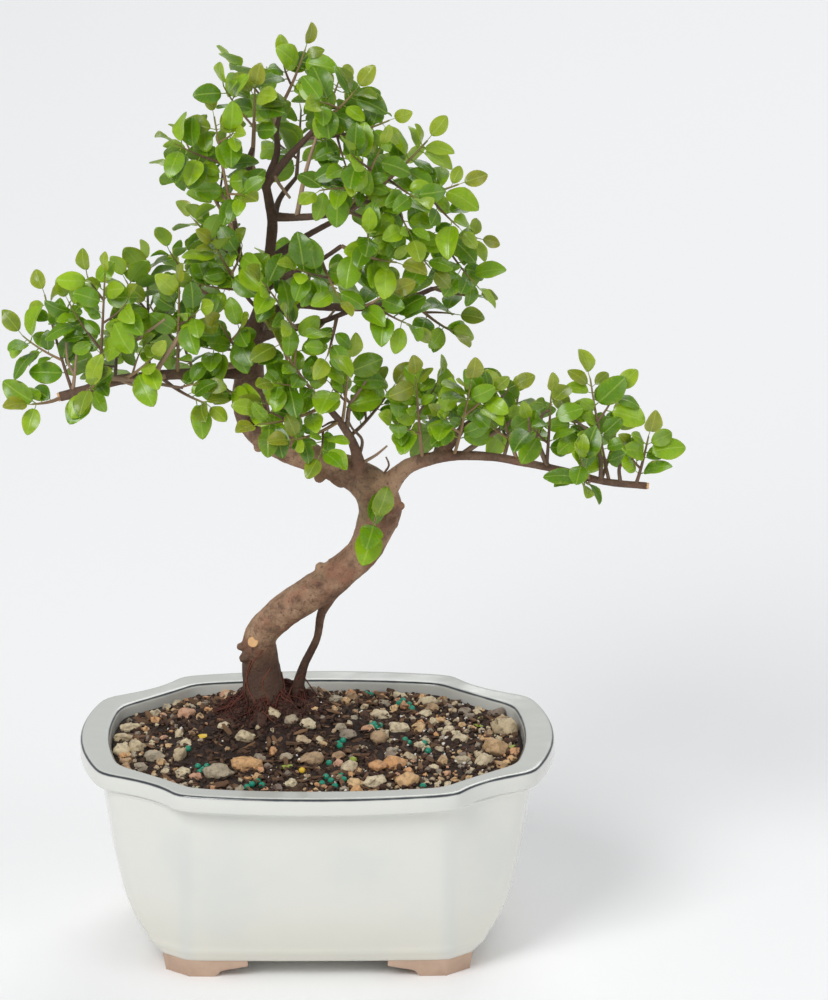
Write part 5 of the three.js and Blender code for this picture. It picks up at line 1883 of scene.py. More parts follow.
    def draw_leaf(self, axis: Axis, share: float, hand: int, tip: bool, size: float,
                  draw: np.random.Generator) -> Leaf:
        """Draws a new leaf at a place on an axis.

        Args:
            axis: The axis.
            share: Where on it the leaf grows.
            hand: The side that it grows on.
            tip: Whether it is one of the young pair at the tip.
            size: How large it may be, from 0 to 1.
            draw: The random generator.

        Returns:
            The leaf.
        """
        joint, tangent = axis.path.place(share), axis.path.tangent(share)
        side = unit(np.cross(tangent, axis.outlook)) * hand
        swing = draw.uniform(*(self.tip_swing if tip else self.swing))
        lift = draw.uniform(*self.lift)
        outward = side * math.cos(lift) + axis.outlook * math.sin(lift)
        along = tangent * math.cos(swing) + outward * math.sin(swing)
        along = unit(along - np.array([0, 0, draw.uniform(*self.droop)]))
        facing = axis.outlook + draw.uniform(-self.face_spread, self.face_spread, 3)
        across = unit(np.cross(facing, along))
        if tip:
            length = draw.uniform(*self.tip_pair_length)
            return Leaf(joint, along, across, length, length * draw.uniform(*self.tip_width),
                        draw.uniform(*self.tip_youth), self.tip_stalk)
        length = self.leaf_length * draw.uniform(*self.filler_size) * size
        width = length * self.leaf_width * draw.uniform(*self.width_spread)
        return Leaf(joint, along, across, length, width, stalk=draw.uniform(*self.stalks))

    def blade(self) -> Object:
        """Makes the flat pattern of a leaf, with x along it, y across it and z through it.

        The stalk runs from x = -1 to 0 and the blade from 0 to 1, where y and z go from -1 to 1.
        """
        points: list[Point] = [(-1.0, -0.05, -1.6), (-1.0, 0.05, -1.6), (-1.0, 0.0, 2.0),
                               (0.0, -0.05, -1.2), (0.0, 0.05, -1.2), (0.0, 0.0, 1.6)]
        faces: list[tuple[int, ...]] = [(0, 2, 1), (3, 4, 5)]
        faces += [(i, (i + 1) % 3, 3 + (i + 1) % 3, 3 + i) for i in range(3)]
        first = len(points)
        for station in self.blade_stations:
            half = math.sin(math.pi * station ** 0.9) ** 0.62
            points += [(station, -half, 0.0), (station, -half / 2, 1.0), (station, 0.0, 1.0),
                       (station, half / 2, 1.0), (station, half, 0.0), (station, 0.0, -1.0)]
        last = first + 6 * (len(self.blade_stations) - 1)
        points += [(1.0, 0.0, 0.0)]
        for start in range(first, last, 6):
            faces += [(start + k, start + 6 + k, start + 6 + (k + 1) % 6, start + (k + 1) % 6)
                      for k in range(6)]
        faces += [(last + k, len(points) - 1, last + (k + 1) % 6) for k in range(6)]
        faces += [(3, first + k, first + (k + 1) % 6) for k in range(6)]
        mesh = bpy.data.meshes.new("Blade pattern")
        mesh.from_pydata(points, [], faces)
        margins = {(start, start + 6) for base in (first, first + 4) for start in range(base, last, 6)}
        sharp = [tuple(sorted(edge.vertices)) in margins for edge in mesh.edges]
        store(mesh, "sharp_edge", "BOOLEAN", sharp, "EDGE")
        mesh.shade_smooth()
        return placed("Blade pattern", mesh)

    def recipe(self) -> Recipe:
        """Returns the tree that makes a leafy shoot from bare lines and from points for leaves."""
        r = Recipe("Leafy shoot")
        sides, blade = r.input("Sides", "Int"), r.input("Blade", "Object")
        thickness, arch, hook = r.input("Thickness"), r.input("Arch"), r.input("Hook")
        lowest, highest = r.input("Lowest corner", "Vector"), r.input("Highest corner", "Vector")
        leaf_coat, twig_coat = r.input("Leaf finish", "Material"), r.input("Twig finish", "Material")
        bears = r.attribute("bears leaf", "BOOLEAN")
        parted = r.node("GeometryNodeSeparateGeometry", {0: r.source.outputs[0], 1: bears}, domain="POINT")
        stems = tube_branch(r, parted.outputs[1], sides)
        pattern = r.node("GeometryNodeObjectInfo", {"Object": blade}).outputs["Geometry"]
        marked = r.marked(pattern, "blade", r.position(), "FLOAT_VECTOR")
        copies = r.node("GeometryNodeInstanceOnPoints", {"Points": parted.outputs[0], "Instance": marked})
        along, across = r.arrow("along"), r.arrow("across")
        normal = r.vector("CROSS_PRODUCT", along, across)
        length, half = r.attribute("length"), r.times(r.attribute("width"), 0.5)
        run, aside, through = r.axes(r.arrow("blade"))
        on_blade = r.math("MAXIMUM", run, 0.0)
        on_stalk = r.times(r.plus(r.math("MINIMUM", run, 0.0), 1.0), r.attribute("stalk"))
        reach = r.plus(on_stalk, r.times(on_blade, length))
        slope = r.less(r.times(arch, r.attribute("curl")), r.times(on_blade, hook))
        rise = r.times(r.times(on_blade, length), slope)
        phase = r.plus(r.times(run, self.ripples), r.times(r.attribute("tint"), self.ripple_shift))
        ripple = r.times(r.math("SINE", phase), self.ripple_height)
        bent = r.times(r.times(r.math("ABSOLUTE", aside), half), r.plus(r.attribute("fold"), ripple))
        raised = r.plus(r.plus(rise, bent), r.times(through, thickness))
        place = r.arrow("joint")
        for axis, amount in ((along, reach), (across, r.times(aside, half)), (normal, raised)):
            place = r.vector("ADD", place, r.scaled(axis, amount))
        place = r.vector("MAXIMUM", r.vector("MINIMUM", place, highest), lowest)
        shaped = r.moved(r.real(copies.outputs[0]), "Position", place)
        joined = r.node("GeometryNodeJoinGeometry")
        for branch in (shaped, stems):
            r.tree.links.new(branch, joined.inputs[0])
        on_leaf = r.attribute("bears leaf", "BOOLEAN")
        bare = r.node("FunctionNodeBooleanMath", {0: on_leaf}, operation="NOT").outputs[0]
        return r.finish(joined.outputs[0], (leaf_coat, on_leaf), (twig_coat, bare))

    def piece(self, name: str, axes: list[Axis], leaves: list[Leaf], recipe: Recipe, blade: Object,
              finishes: tuple[Material, Material]) -> Object:
        """Makes one shoot.

        Args:
            name: The shoot's name.
            axes: Its stem and side twigs.
            leaves: Its leaves.
            recipe: The tree that makes a shoot.
            blade: The flat pattern of a leaf.
            finishes: The materials of the leaves and of the twigs.

        Returns:
            The shoot's piece, which stands for the CAD's.
        """
        draw = np.random.default_rng(self.seed + len(name) * 31 + sum(map(ord, name)))
        lines = Lines()
        for axis in axes:
            shares = np.linspace(0, 1, int(axis.path.length / 2) + 3)
            places = [axis.path.place(share) for share in shares]
            radii = [mix(*(self.twig_radii if axis.twig else self.stem_radii), share) for share in shares]
            youth = [share * (1.0 if axis.twig else 0.9) for share in shares]
            if axis.root is not None:
                places, radii, youth = [axis.root, *places], [radii[0], *radii], [0.0, *youth]
            lines.add(places, radii, youth, float(draw.uniform(0, 1)))
        made = bpy.data.meshes.new(name)
        bare, grown = len(lines.points), len(leaves)
        places = [*lines.points, *[leaf.joint for leaf in leaves]]
        made.from_pydata([to_frame(place) for place in places], lines.edges, [])
        blank = np.zeros(bare)
        tints = draw.uniform(0, 1, grown)
        store(made, "bears leaf", "BOOLEAN", np.arange(bare + grown) >= bare)
        store(made, "joint", "FLOAT_VECTOR", [vertex.co for vertex in made.vertices])
        for key in ("along", "across"):
            store(made, key, "FLOAT_VECTOR", [*np.zeros((bare, 3)), *[getattr(leaf, key) for leaf in leaves]])
        for key in ("length", "width", "stalk"):
            store(made, key, "FLOAT", [*blank, *[getattr(leaf, key) * MM for leaf in leaves]])
        for key, on_line, on_leaf in (
                ("radius", np.array(lines.radii) * MM, np.zeros(grown)),
                ("youth", lines.youth, [leaf.youth for leaf in leaves]),
                ("tint", lines.tint, tints),
                ("fold", blank, draw.uniform(*self.folds, grown)),
                ("curl", blank, draw.uniform(*self.curls, grown))):
            store(made, key, "FLOAT", [*on_line, *on_leaf])
        shoot = placed(f"Shoot_{name}", made)
        recipe.apply(shoot, Sides=self.tube_sides, Blade=blade, Thickness=self.blade_thickness * MM,
                     Arch=self.arch, Hook=self.hook, Lowest_corner=CAD_BOX[0], Highest_corner=CAD_BOX[1],
                     Leaf_finish=finishes[0], Twig_finish=finishes[1])
        return hand_over(shoot, Slot.LEAF, f"shoot_{name}")


@dataclass(frozen=True)
class SoilTop:
    """The soil's surface: level at the wall, domed, and heaped round the roots."""

    level: float = 85.5
    wall_gap: float = 0.45
    dome: float = 2.5
    grain: float = 1.1
    mound: float = 15.0
    mound_place: Pair = (-17.0, 15.0)
    mound_reach: float = 21.0
    ripples: Four = (0.71, 0.43, 0.83, 0.37)
    ripple_bend: float = 1.3

    def rim(self) -> Array:
        """Returns the line where the surface meets the wall."""
        return INNER_WALL.at(self.level).ring(self.level, self.wall_gap)

    def edge(self, x: Array, y: Array) -> Array:
        """Returns how far places lie on the way from the middle to the wall."""
        rim = self.rim()
        angles = np.arctan2(rim[:, 1], rim[:, 0]) % math.tau
        order = angles.argsort()
        reach = np.hypot(rim[:, 0], rim[:, 1])
        wall = np.interp(np.arctan2(y, x) % math.tau, angles[order], reach[order], period=math.tau)
        return np.hypot(x, y) / wall

    def height(self, x: Array, y: Array, edge: Array) -> Array:
        """Returns the surface's height at places with their shares of the way to the wall."""
        away = np.hypot(x - self.mound_place[0], y - self.mound_place[1]) / self.mound_reach
        mound = np.exp(-0.5 * away ** 2)
        one, two, three, four = self.ripples
        grain = np.sin(x * one + self.ripple_bend * np.sin(y * two)) * np.cos(y * three + np.sin(x * four))
        return (self.level + (1 - edge ** 4) * (self.dome + self.grain * grain)
                + self.mound * mound * (1 - edge ** 8))

    def places(self, x: Array, y: Array) -> Array:
        """Returns the points of the surface at plan places."""
        return np.stack([x, y, self.height(x, y, self.edge(x, y))], 1)


class Zone(Enum):
    """Where in the pot loose pieces gather."""

    EVEN = "even"
    EDGES = "edges"
    RIGHT = "right"
    HEAP = "heap"


@dataclass(frozen=True)
class Scatter:
    """A kind of loose piece that is strewn over the soil."""

    name: str
    count: int
    sizes: Pair
    width: float
    height: float
    zone: Zone
    detail: int = 1
    lift: float = 0.1
    tilt: float = 0.4
    roughness: float = 0.25
    tints: Pair = (0.0, 1.0)
    apart: bool = False


@dataclass(frozen=True)
class Stone:
    """A stone at its place in the photograph."""

    column: float
    row: float
    length: float
    tint: float
    width: float = 0.75
    height: float = 0.6
    turn: float = 0.0


GRAVEL = (
    Stone(246, 768, 13.2, 0.84, 0.7, 0.5), Stone(378, 769, 8.0, 0.9),
    Stone(395, 767, 10.6, 0.88, 0.8, 0.62, 0.4), Stone(407, 784, 11.0, 0.8, 0.55),
    Stone(187, 717, 8.6, 0.97, 0.7), Stone(273, 715, 8.2, 0.4, 0.6, 0.5, -0.5), Stone(291, 721, 6.2, 0.2),
    Stone(308, 727, 7.6, 0.46, 0.8), Stone(379, 741, 7.4, 0.6, 0.7, 0.9), Stone(399, 731, 8.6, 0.5),
    Stone(380, 718, 10.2, 0.5, 0.5, 0.4, -0.2), Stone(120, 753, 7.8, 0.42, 0.9, 0.75),
    Stone(136, 751, 7.8, 0.36, 0.9, 0.75), Stone(141, 709, 10.4, 0.3, 0.6), Stone(158, 702, 7.2, 0.44),
    Stone(180, 759, 7.4, 0.3, 0.6, 0.9, 1.0), Stone(155, 760, 8.6, 0.18, 0.7, 0.6),
    Stone(182, 775, 6.8, 0.45), Stone(196, 779, 5.8, 0.98), Stone(218, 777, 12.4, 0.2, 0.7, 0.62, 0.2),
    Stone(312, 763, 10.4, 0.6, 0.75, 0.6), Stone(338, 758, 5.8, 0.62), Stone(349, 770, 7.6, 0.5, 0.75, 0.7),
    Stone(355, 786, 7.0, 0.76), Stone(374, 785, 10.0, 0.45, 0.6, 0.5, 0.3),
    Stone(273, 754, 7.0, 0.9, 0.4, 0.6, 1.3), Stone(286, 758, 5.6, 0.2), Stone(260, 760, 5.2, 0.1),
    Stone(348, 737, 7.0, 0.08, 0.8), Stone(428, 704, 8.4, 0.5, 0.6), Stone(425, 716, 5.6, 0.46),
    Stone(448, 696, 6.6, 0.5, 0.8, 1.0), Stone(436, 687, 7.2, 0.2), Stone(470, 704, 10.2, 0.3, 0.7, 0.6),
    Stone(497, 704, 8.2, 0.56, 0.6), Stone(503, 715, 6.8, 0.02, 0.8),
    Stone(505, 732, 11.4, 0.34, 0.85, 0.8), Stone(496, 752, 10.8, 0.68, 0.85, 0.75),
    Stone(506, 764, 4.0, 0.8), Stone(512, 760, 4.2, 0.82), Stone(484, 765, 9.2, 0.5, 0.6, 0.6, 0.5),
    Stone(462, 762, 6.6, 0.24), Stone(130, 731, 8.0, 0.42, 0.5), Stone(120, 740, 9.4, 0.32, 0.4, 0.4),
    Stone(333, 711, 4.4, 0.78), Stone(449, 731, 5.0, 0.44), Stone(460, 741, 7.2, 0.5, 0.6),
    Stone(410, 759, 6.4, 0.3), Stone(434, 770, 4.6, 0.5), Stone(420, 748, 5.0, 0.46),
    Stone(392, 754, 5.6, 0.14), Stone(224, 729, 5.4, 0.48), Stone(245, 740, 8.4, 0.4, 0.5),
    Stone(171, 694, 8.0, 0.62, 0.6, 0.7), Stone(202, 688, 5.0, 0.5), Stone(222, 686, 5.4, 0.46),
    Stone(394, 692, 6.2, 0.5), Stone(400, 700, 7.4, 0.44, 0.6),
)
PELLETS = tuple(Stone(column, row, 2.9, 0.5, 1.0, 1.0) for column, row in (
    (198, 768), (203, 771), (207, 767), (200, 774), (252, 786), (258, 784), (262, 788), (247, 789),
    (329, 765), (326, 779), (331, 782), (341, 776), (344, 781), (335, 787), (322, 784), (338, 745),
    (343, 743), (340, 748), (371, 728), (376, 730), (380, 728), (374, 726), (366, 695), (371, 697),
    (403, 703), (409, 706), (399, 706), (412, 711), (405, 742), (409, 745), (424, 746), (428, 752),
    (423, 787), (188, 751),
))
GREEN_BITS = (
    Stone(124, 714, 7.6, 0.6, 0.7, 0.25), Stone(286, 768, 9.6, 0.3, 0.28, 0.2),
    Stone(353, 762, 3.4, 1.0, 1.0, 0.9), Stone(510, 749, 6.4, 0.4, 0.4, 0.2, 0.8),
    Stone(482, 718, 7.0, 0.5, 0.3, 0.2, 0.7), Stone(140, 722, 6.8, 0.4, 0.3, 0.2, 1.0),
    Stone(478, 726, 5.6, 0.7, 0.3, 0.2, -0.6),
)
YELLOW_BITS = (Stone(203, 738, 5.2, 0.6, 0.7, 0.22), Stone(302, 771, 3.0, 0.8, 1.0, 1.0))


@dataclass
class Soil:
    """The potting mix with the crumbs, bark, gravel, pellets and fine roots on it."""

    top: SoilTop = field(default_factory=SoilTop)
    under: float = 14.6
    wall_steps: int = 5
    rings: int = 34
    clump_cells: float = 130.0
    clump_height: float = 1.6
    seed: int = 21
    inside: float = 0.965
    root_clear: float = 15.0
    heap_top: float = 107.0
    rootlets: int = 230
    rootlet_reach: Pair = (12.0, 27.0)
    rootlet_radius: Pair = (0.16, 0.42)
    root_middle: Pair = (-22.0, 15.0)
    smooth_from: int = 2
    heap_start: float = 0.9
    heap_end: float = 2.1
    right_from: float = 5.0
    right_span: float = 45.0
    left_from: float = 55.0
    left_span: float = 25.0
    least_share: float = 0.03
    edge_room: float = 1.2
    stone_half: float = 0.75
    stone_sink: float = 0.45
    stone_rock: float = 0.2
    touching: float = 0.85
    attempts: int = 30
    small_share: float = 1.6
    jitter: Pair = (-0.4, 0.5)
    shape_spread: Pair = (0.75, 1.2)
    rootlet_steps: int = 14
    rootlet_sides: int = 5
    rootlet_start: Pair = (4, 13)
    rootlet_sway: Pair = (0.1, 0.5)
    rootlet_bow: Pair = (0.3, 2.6)
    rootlet_lift: float = 0.3
    rootlet_dive: float = 1.4
    rootlet_squash: float = 0.8
    rootlet_winding: float = 4.5
    view: Viewpoint = field(default_factory=Viewpoint)
    kinds: tuple[Scatter, ...] = (
        Scatter("Crumbs", 4200, (1.0, 3.4), 0.8, 0.7, Zone.EVEN, tilt=1.0, roughness=0.35),
        Scatter("Bark_chips", 640, (3.0, 10.0), 0.3, 0.16, Zone.EVEN, lift=0.5, tilt=0.5, roughness=0.16),
        Scatter("Heaped_crumbs", 1500, (1.2, 3.6), 0.7, 0.6, Zone.HEAP, tilt=1.0, roughness=0.35),
        Scatter("Gravel", 330, (2.6, 6.2), 0.75, 0.65, Zone.EDGES, 2, 0.12, 0.6, 0.36, apart=True),
        Scatter("Grit", 260, (1.2, 2.4), 0.85, 0.75, Zone.EDGES, lift=0.3, apart=True),
        Scatter("Perlite", 150, (0.8, 1.9), 0.9, 0.8, Zone.RIGHT, lift=0.4),
    )

    def build(self, wood: BVHTree) -> list[Object]:
        """Makes the soil and everything that lies on it.

        Args:
            wood: The surface of the tree, on whose roots crumbs lie too.

        Returns:
            The soil and the pieces on it.
        """
        draw = np.random.default_rng(self.seed)
        body = self.body()
        surface = surface_of(body)
        hand_over(body, Slot.SOIL, "soil")
        grains = self.grain_recipe()
        laid: list[Place] = []
        pieces = [body]
        stone = StoneFinish().build()
        pellet = PlainFinish("Fertiliser pellet", linear(28, 140, 112), 0.35).build()
        green = PlainFinish("Green leaf bit", linear(150, 165, 60), 0.5).build()
        yellow = PlainFinish("Yellow leaf bit", linear(228, 190, 50), 0.4).build()
        for name, stones, finish in (
                ("Pebbles", GRAVEL, stone), ("Pellets", PELLETS, pellet),
                ("Green_bits", GREEN_BITS, green), ("Yellow_bits", YELLOW_BITS, yellow)):
            points = self.lay(stones, surface, laid, draw)
            detail, unevenness = (3, 0.24) if stones is GRAVEL else (2, 0.03)
            pieces.append(self.grains(name, points, grains, finish, detail, unevenness))
        finishes = {
            "Crumbs": SoilFinish("Potting mix crumbs", linear(22, 14, 11), linear(92, 66, 50)).build(),
            "Heaped_crumbs": SoilFinish(
                "Crumbs between the roots", linear(26, 12, 9), linear(84, 52, 40)).build(),
            "Bark_chips": SoilFinish("Bark chips", linear(34, 22, 16), linear(132, 98, 70)).build(),
            "Gravel": stone, "Grit": stone,
            "Perlite": PlainFinish("Perlite", linear(232, 228, 218), 0.8).build(),
        }
        for kind in self.kinds:
            points = self.strew(kind, laid, draw)
            if kind.zone is Zone.HEAP:
                points = self.settled(points, wood)
            finish = finishes[kind.name]
            pieces.append(self.grains(kind.name, points, grains, finish, kind.detail, kind.roughness))
        pieces.append(self.fine_roots(wood, draw))
        return pieces

    def body(self) -> Object:
        """Makes the closed body of the soil, with a lumpy top."""
        levels = np.linspace(self.under, self.top.level, self.wall_steps + 1)[:-1]
        rings = [INNER_WALL.at(level).ring(level, self.top.wall_gap) for level in levels]
        rim = self.top.rim()
        shares = [0.0] * len(rings)
        for share in np.linspace(1, self.least_share, self.rings):
            x, y = rim[:, 0] * share, rim[:, 1] * share
            rings.append(np.stack([x, y, self.top.height(x, y, np.full(len(rim), share))], 1))
            shares.append(float(1 - share ** 10))
        points, faces = lofted(rings)
        body = new_mesh_object("Soil", points, faces)
        store(body.data, "loose", "FLOAT", np.repeat(shares, len(rim)))
        store(body.data, "tint", "FLOAT", np.full(len(points), 0.35))
        r = Recipe("Soil clumps")
        cells, depth = r.input("Clump cells"), r.input("Clump height")
        coat = r.input("Material", "Material")
        noise = r.noise(r.position(), cells, 3.0)
        rise = r.times(r.times(r.less(noise, 0.55), depth), r.attribute("loose"))
        lifted = r.node("ShaderNodeCombineXYZ", {"Z": rise}).outputs[0]
        moved = r.moved(r.source.outputs[0], "Offset", lifted)
        finish = SoilFinish("Potting mix", linear(20, 13, 10), linear(66, 46, 36), depth=0.8).build()
        return r.finish(moved, (coat, None)).apply(
            body, Clump_cells=self.clump_cells, Clump_height=self.clump_height * 2 * MM, Material=finish)

    def lay(self, stones: Sequence[Stone], surface: BVHTree, laid: list[Place],
            draw: np.random.Generator) -> list[tuple]:
        """Finds where stones of the photograph lie on the soil.

        Args:
            stones: The stones.
            surface: The soil's body.
            laid: What lies there already, as plan places and radii, to which these are added.
            draw: The random generator.

        Returns:
            Each stone's place, size, turn and tint.
        """
        found = []
        for stone in stones:
            near = self.view.spot(stone.column, stone.row, 150.0)
            far = self.view.spot(stone.column, stone.row, 60.0)
            hit = surface.ray_cast(to_frame(near), (far - near).normalized())[0]
            if hit is None:
                continue
            place = np.array(to_pot(hit))
            half = stone.length / 2
            share = float(self.top.edge(place[:1], place[1:2])[0])
            room = 1 - (half * self.stone_half + self.edge_room) / max(np.hypot(*place[:2]), 1) * share
            if share > room:
                place[:2] *= room / share
            ends = self.top.places(place[:1], place[1:2])[0]
            place[2] = ends[2] + half * stone.height * self.stone_sink
            size = half * np.array([1.0, stone.width, stone.height])
            rock = [draw.uniform(-self.stone_rock, self.stone_rock) for _ in range(2)]
            found.append((place, size, (*rock, stone.turn), stone.tint))
            laid.append((place[0], place[1], half * self.touching))
        return found

    def strew(self, kind: Scatter, laid: list[Place], draw: np.random.Generator) -> list[tuple]:
        """Scatters a kind of loose piece.

        Args:
            kind: The kind.
            laid: What lies there already, as plan places and radii, to which stones are added.
            draw: The random generator.

        Returns:
            Each piece's place, size, turn and tint.
        """
        found: list[tuple] = []
        attempts = 0
        while len(found) < kind.count and attempts < kind.count * self.attempts:
            attempts += 1
            angle, share = draw.uniform(0, math.tau), self.inside * math.sqrt(draw.uniform(0, 1))
            half = mix(*kind.sizes, draw.uniform(0, 1) ** self.small_share) / 2
            reach = 1 / float(self.top.edge(np.cos([angle]), np.sin([angle]))[0])
            limit = 1 - (half * (1.0 if kind.width > 0.5 else 0.8) + 0.5) / reach
            share = min(share, limit)
            x, y = math.cos(angle) * reach * share, math.sin(angle) * reach * share
            if draw.uniform(0, 1) > self.crowding(kind.zone, x, y, share):
                continue
            if kind.apart:
                if any(math.hypot(x - a, y - b) < half * self.touching + c for a, b, c in laid):
                    continue
                laid.append((x, y, half * self.touching))
            place = self.top.places(np.array([x]), np.array([y]))[0]
            place[2] += half * kind.height * kind.lift * 2 + draw.uniform(*self.jitter)
            width = kind.width * draw.uniform(*self.shape_spread)
            size = half * np.array([1.0, width, kind.height * draw.uniform(*self.shape_spread)])
            lean = draw.uniform(-kind.tilt, kind.tilt, 2)
            turn = (lean[0], lean[1], draw.uniform(0, math.tau))
            found.append((place, size, turn, mix(*kind.tints, draw.uniform(0, 1))))
        return found

    def settled(self, points: list[tuple], wood: BVHTree) -> list[tuple]:
        """Lets pieces lie on the roots where these stand out of the soil.

        Args:
            points: Each piece's place, size, turn and tint.
            wood: The surface of the tree.

        Returns:
            The pieces that don't lie against the trunk, on what is under them.
        """
        kept = []
        for place, size, turn, tint in points:
            above = Vector(to_frame((place[0], place[1], self.heap_top)))
            hit = wood.ray_cast(above, Vector((0.0, 0.0, -1.0)))[0]
            if hit is not None:
                level = to_pot(hit)[2]
                if level > self.heap_top - 1.0:
                    continue
                place[2] = max(place[2], level + size[2] * 0.3)
            kept.append((place, size, turn, tint))
        return kept

    def crowding(self, zone: Zone, x: float, y: float, share: float) -> float:
        """Returns how likely a piece of a zone's kind lies at a place, from 0 to 1."""
        heap = math.hypot(x - self.root_middle[0], y - self.root_middle[1]) / self.root_clear
        clear = min(1.0, max(0.0, heap - self.heap_start))
        if zone is Zone.EVEN:
            return 1.0
        if zone is Zone.HEAP:
            return min(1.0, max(0.0, self.heap_end - heap) ** 2)
        right = min(1.0, max(0.0, (x - self.right_from) / self.right_span))
        left = max(0.0, (-x - self.left_from) / self.left_span)
        if zone is Zone.RIGHT:
            return clear * (0.15 + 0.85 * right)
        return clear * min(1.0, 0.06 + share ** 5 * 0.9 + 0.4 * right + 0.5 * left)

    def grain_recipe(self) -> Recipe:
        """Returns the tree that puts an uneven grain on each point."""
        r = Recipe("Grains")
        detail, rough = r.input("Detail", "Int"), r.input("Unevenness")
        coat = r.input("Material", "Material")
        ball = r.node("GeometryNodeMeshIcoSphere", {"Radius": 1.0, "Subdivisions": detail}).outputs[0]
        marked = r.marked(ball, "unit", r.position(), "FLOAT_VECTOR")
        turned = r.node("FunctionNodeEulerToRotation", {0: r.arrow("turn")}).outputs[0]
        points = r.node("GeometryNodeMeshToPoints", {"Mesh": r.source.outputs[0]}).outputs[0]
        copies = r.node("GeometryNodeInstanceOnPoints", {
            "Points": points, "Instance": marked, "Rotation": turned, "Scale": r.arrow("size")}).outputs[0]
        shift = r.node("ShaderNodeCombineXYZ", {"X": r.attribute("tint"), "Y": r.attribute("pick"), "Z": 0.5})
        place = r.vector("ADD", r.arrow("unit"), r.scaled(shift.outputs[0], 57.0))
        noise = r.node("ShaderNodeTexNoise", {"Vector": place, "Scale": 1.15, "Detail": 2.0}).outputs[1]
        swing = r.scaled(r.vector("SUBTRACT", noise, (0.5, 0.5, 0.5)), r.times(rough, 3.2))
        offset = r.scaled(swing, r.measure("LENGTH", r.arrow("size")))
        return r.finish(r.moved(r.real(copies), "Offset", offset), (coat, None))

    def grains(self, name: str, points: list[tuple], recipe: Recipe, finish: Material,
               detail: int, unevenness: float) -> Object:
        """Makes one piece of many grains.

        Args:
            name: The piece's name.
            points: Each grain's place, size, turn and tint.
            recipe: The tree that puts a grain on each point.
            finish: The grains' material.
            detail: How finely a grain is divided.
            unevenness: How much a grain departs from an even shape, as a share of its size.

        Returns:
            The piece.
        """
        places, sizes, turns, tints = (np.array(values, dtype=float) for values in zip(*points))
        made = new_mesh_object(name, places, [])
        store(made.data, "size", "FLOAT_VECTOR", sizes * MM)
        store(made.data, "turn", "FLOAT_VECTOR", turns)
        store(made.data, "tint", "FLOAT", tints)
        picks = np.random.default_rng(self.seed + len(name)).uniform(0, 1, len(tints))
        store(made.data, "pick", "FLOAT", picks)
        recipe.apply(made, Detail=detail, Unevenness=unevenness, Material=finish)
        if detail > self.smooth_from:
            made.data.shade_smooth()
        else:
            made.data.shade_flat()
        return hand_over(made, Slot.SOIL)

    def ground(self, x: float, y: float, wood: BVHTree) -> float:
        """Returns the height of the soil or of the root that lies over it."""
        level = float(self.top.places(np.array([x]), np.array([y]))[0][2])
        hit = wood.ray_cast(Vector(to_frame((x, y, self.heap_top))), Vector((0.0, 0.0, -1.0)))[0]
        return level if hit is None else max(level, to_pot(hit)[2])

    def fine_roots(self, wood: BVHTree, draw: np.random.Generator) -> Object:
        """Makes the mass of fine dark red roots that hang over the mound.

        Args:
            wood: The surface of the tree.
            draw: The random generator.

        Returns:
            The roots.
        """
        lines = Lines()
        middle = np.array(self.root_middle)
        for _ in range(self.rootlets):
            angle = draw.uniform(0, math.tau)
            start, end = draw.uniform(*self.rootlet_start), draw.uniform(*self.rootlet_reach)
            sway, phase = draw.uniform(*self.rootlet_sway), draw.uniform(0, math.tau)
            bow_height, radius = draw.uniform(*self.rootlet_bow), draw.uniform(*self.rootlet_radius)
            places, radii = [], []
            for share in np.linspace(0, 1, self.rootlet_steps):
                turn = angle + sway * math.sin(phase + share * self.rootlet_winding)
                outward = np.array([math.cos(turn), math.sin(turn) * self.rootlet_squash])
                x, y = middle + outward * mix(start, end, share)
                height = self.ground(x, y, wood) + bow_height * math.sin(math.pi * share)
                places.append(np.array([x, y, height + self.rootlet_lift - self.rootlet_dive * share ** 4]))
                radii.append(radius * mix(1.0, 0.5, share))
            lines.add(places, radii, [0.0] * len(places), float(draw.uniform(0, 1)))
        made = lines.build("Fine_roots")
        finish = SoilFinish("Fine roots", linear(34, 12, 9), linear(104, 52, 38), grain=300.0).build()
        tube_recipe().apply(made, Sides=self.rootlet_sides, Material=finish)
        return hand_over(made, Slot.BARK)


@dataclass(frozen=True)
class BareTwig:
    """A leafless twig that starts on a limb and runs through columns and rows of the photograph."""

    limb: str
    marks: tuple[Pair, ...]
    radii: Pair = (0.8, 0.45)
    pale: float = 0.3
    lean: float = 0.0


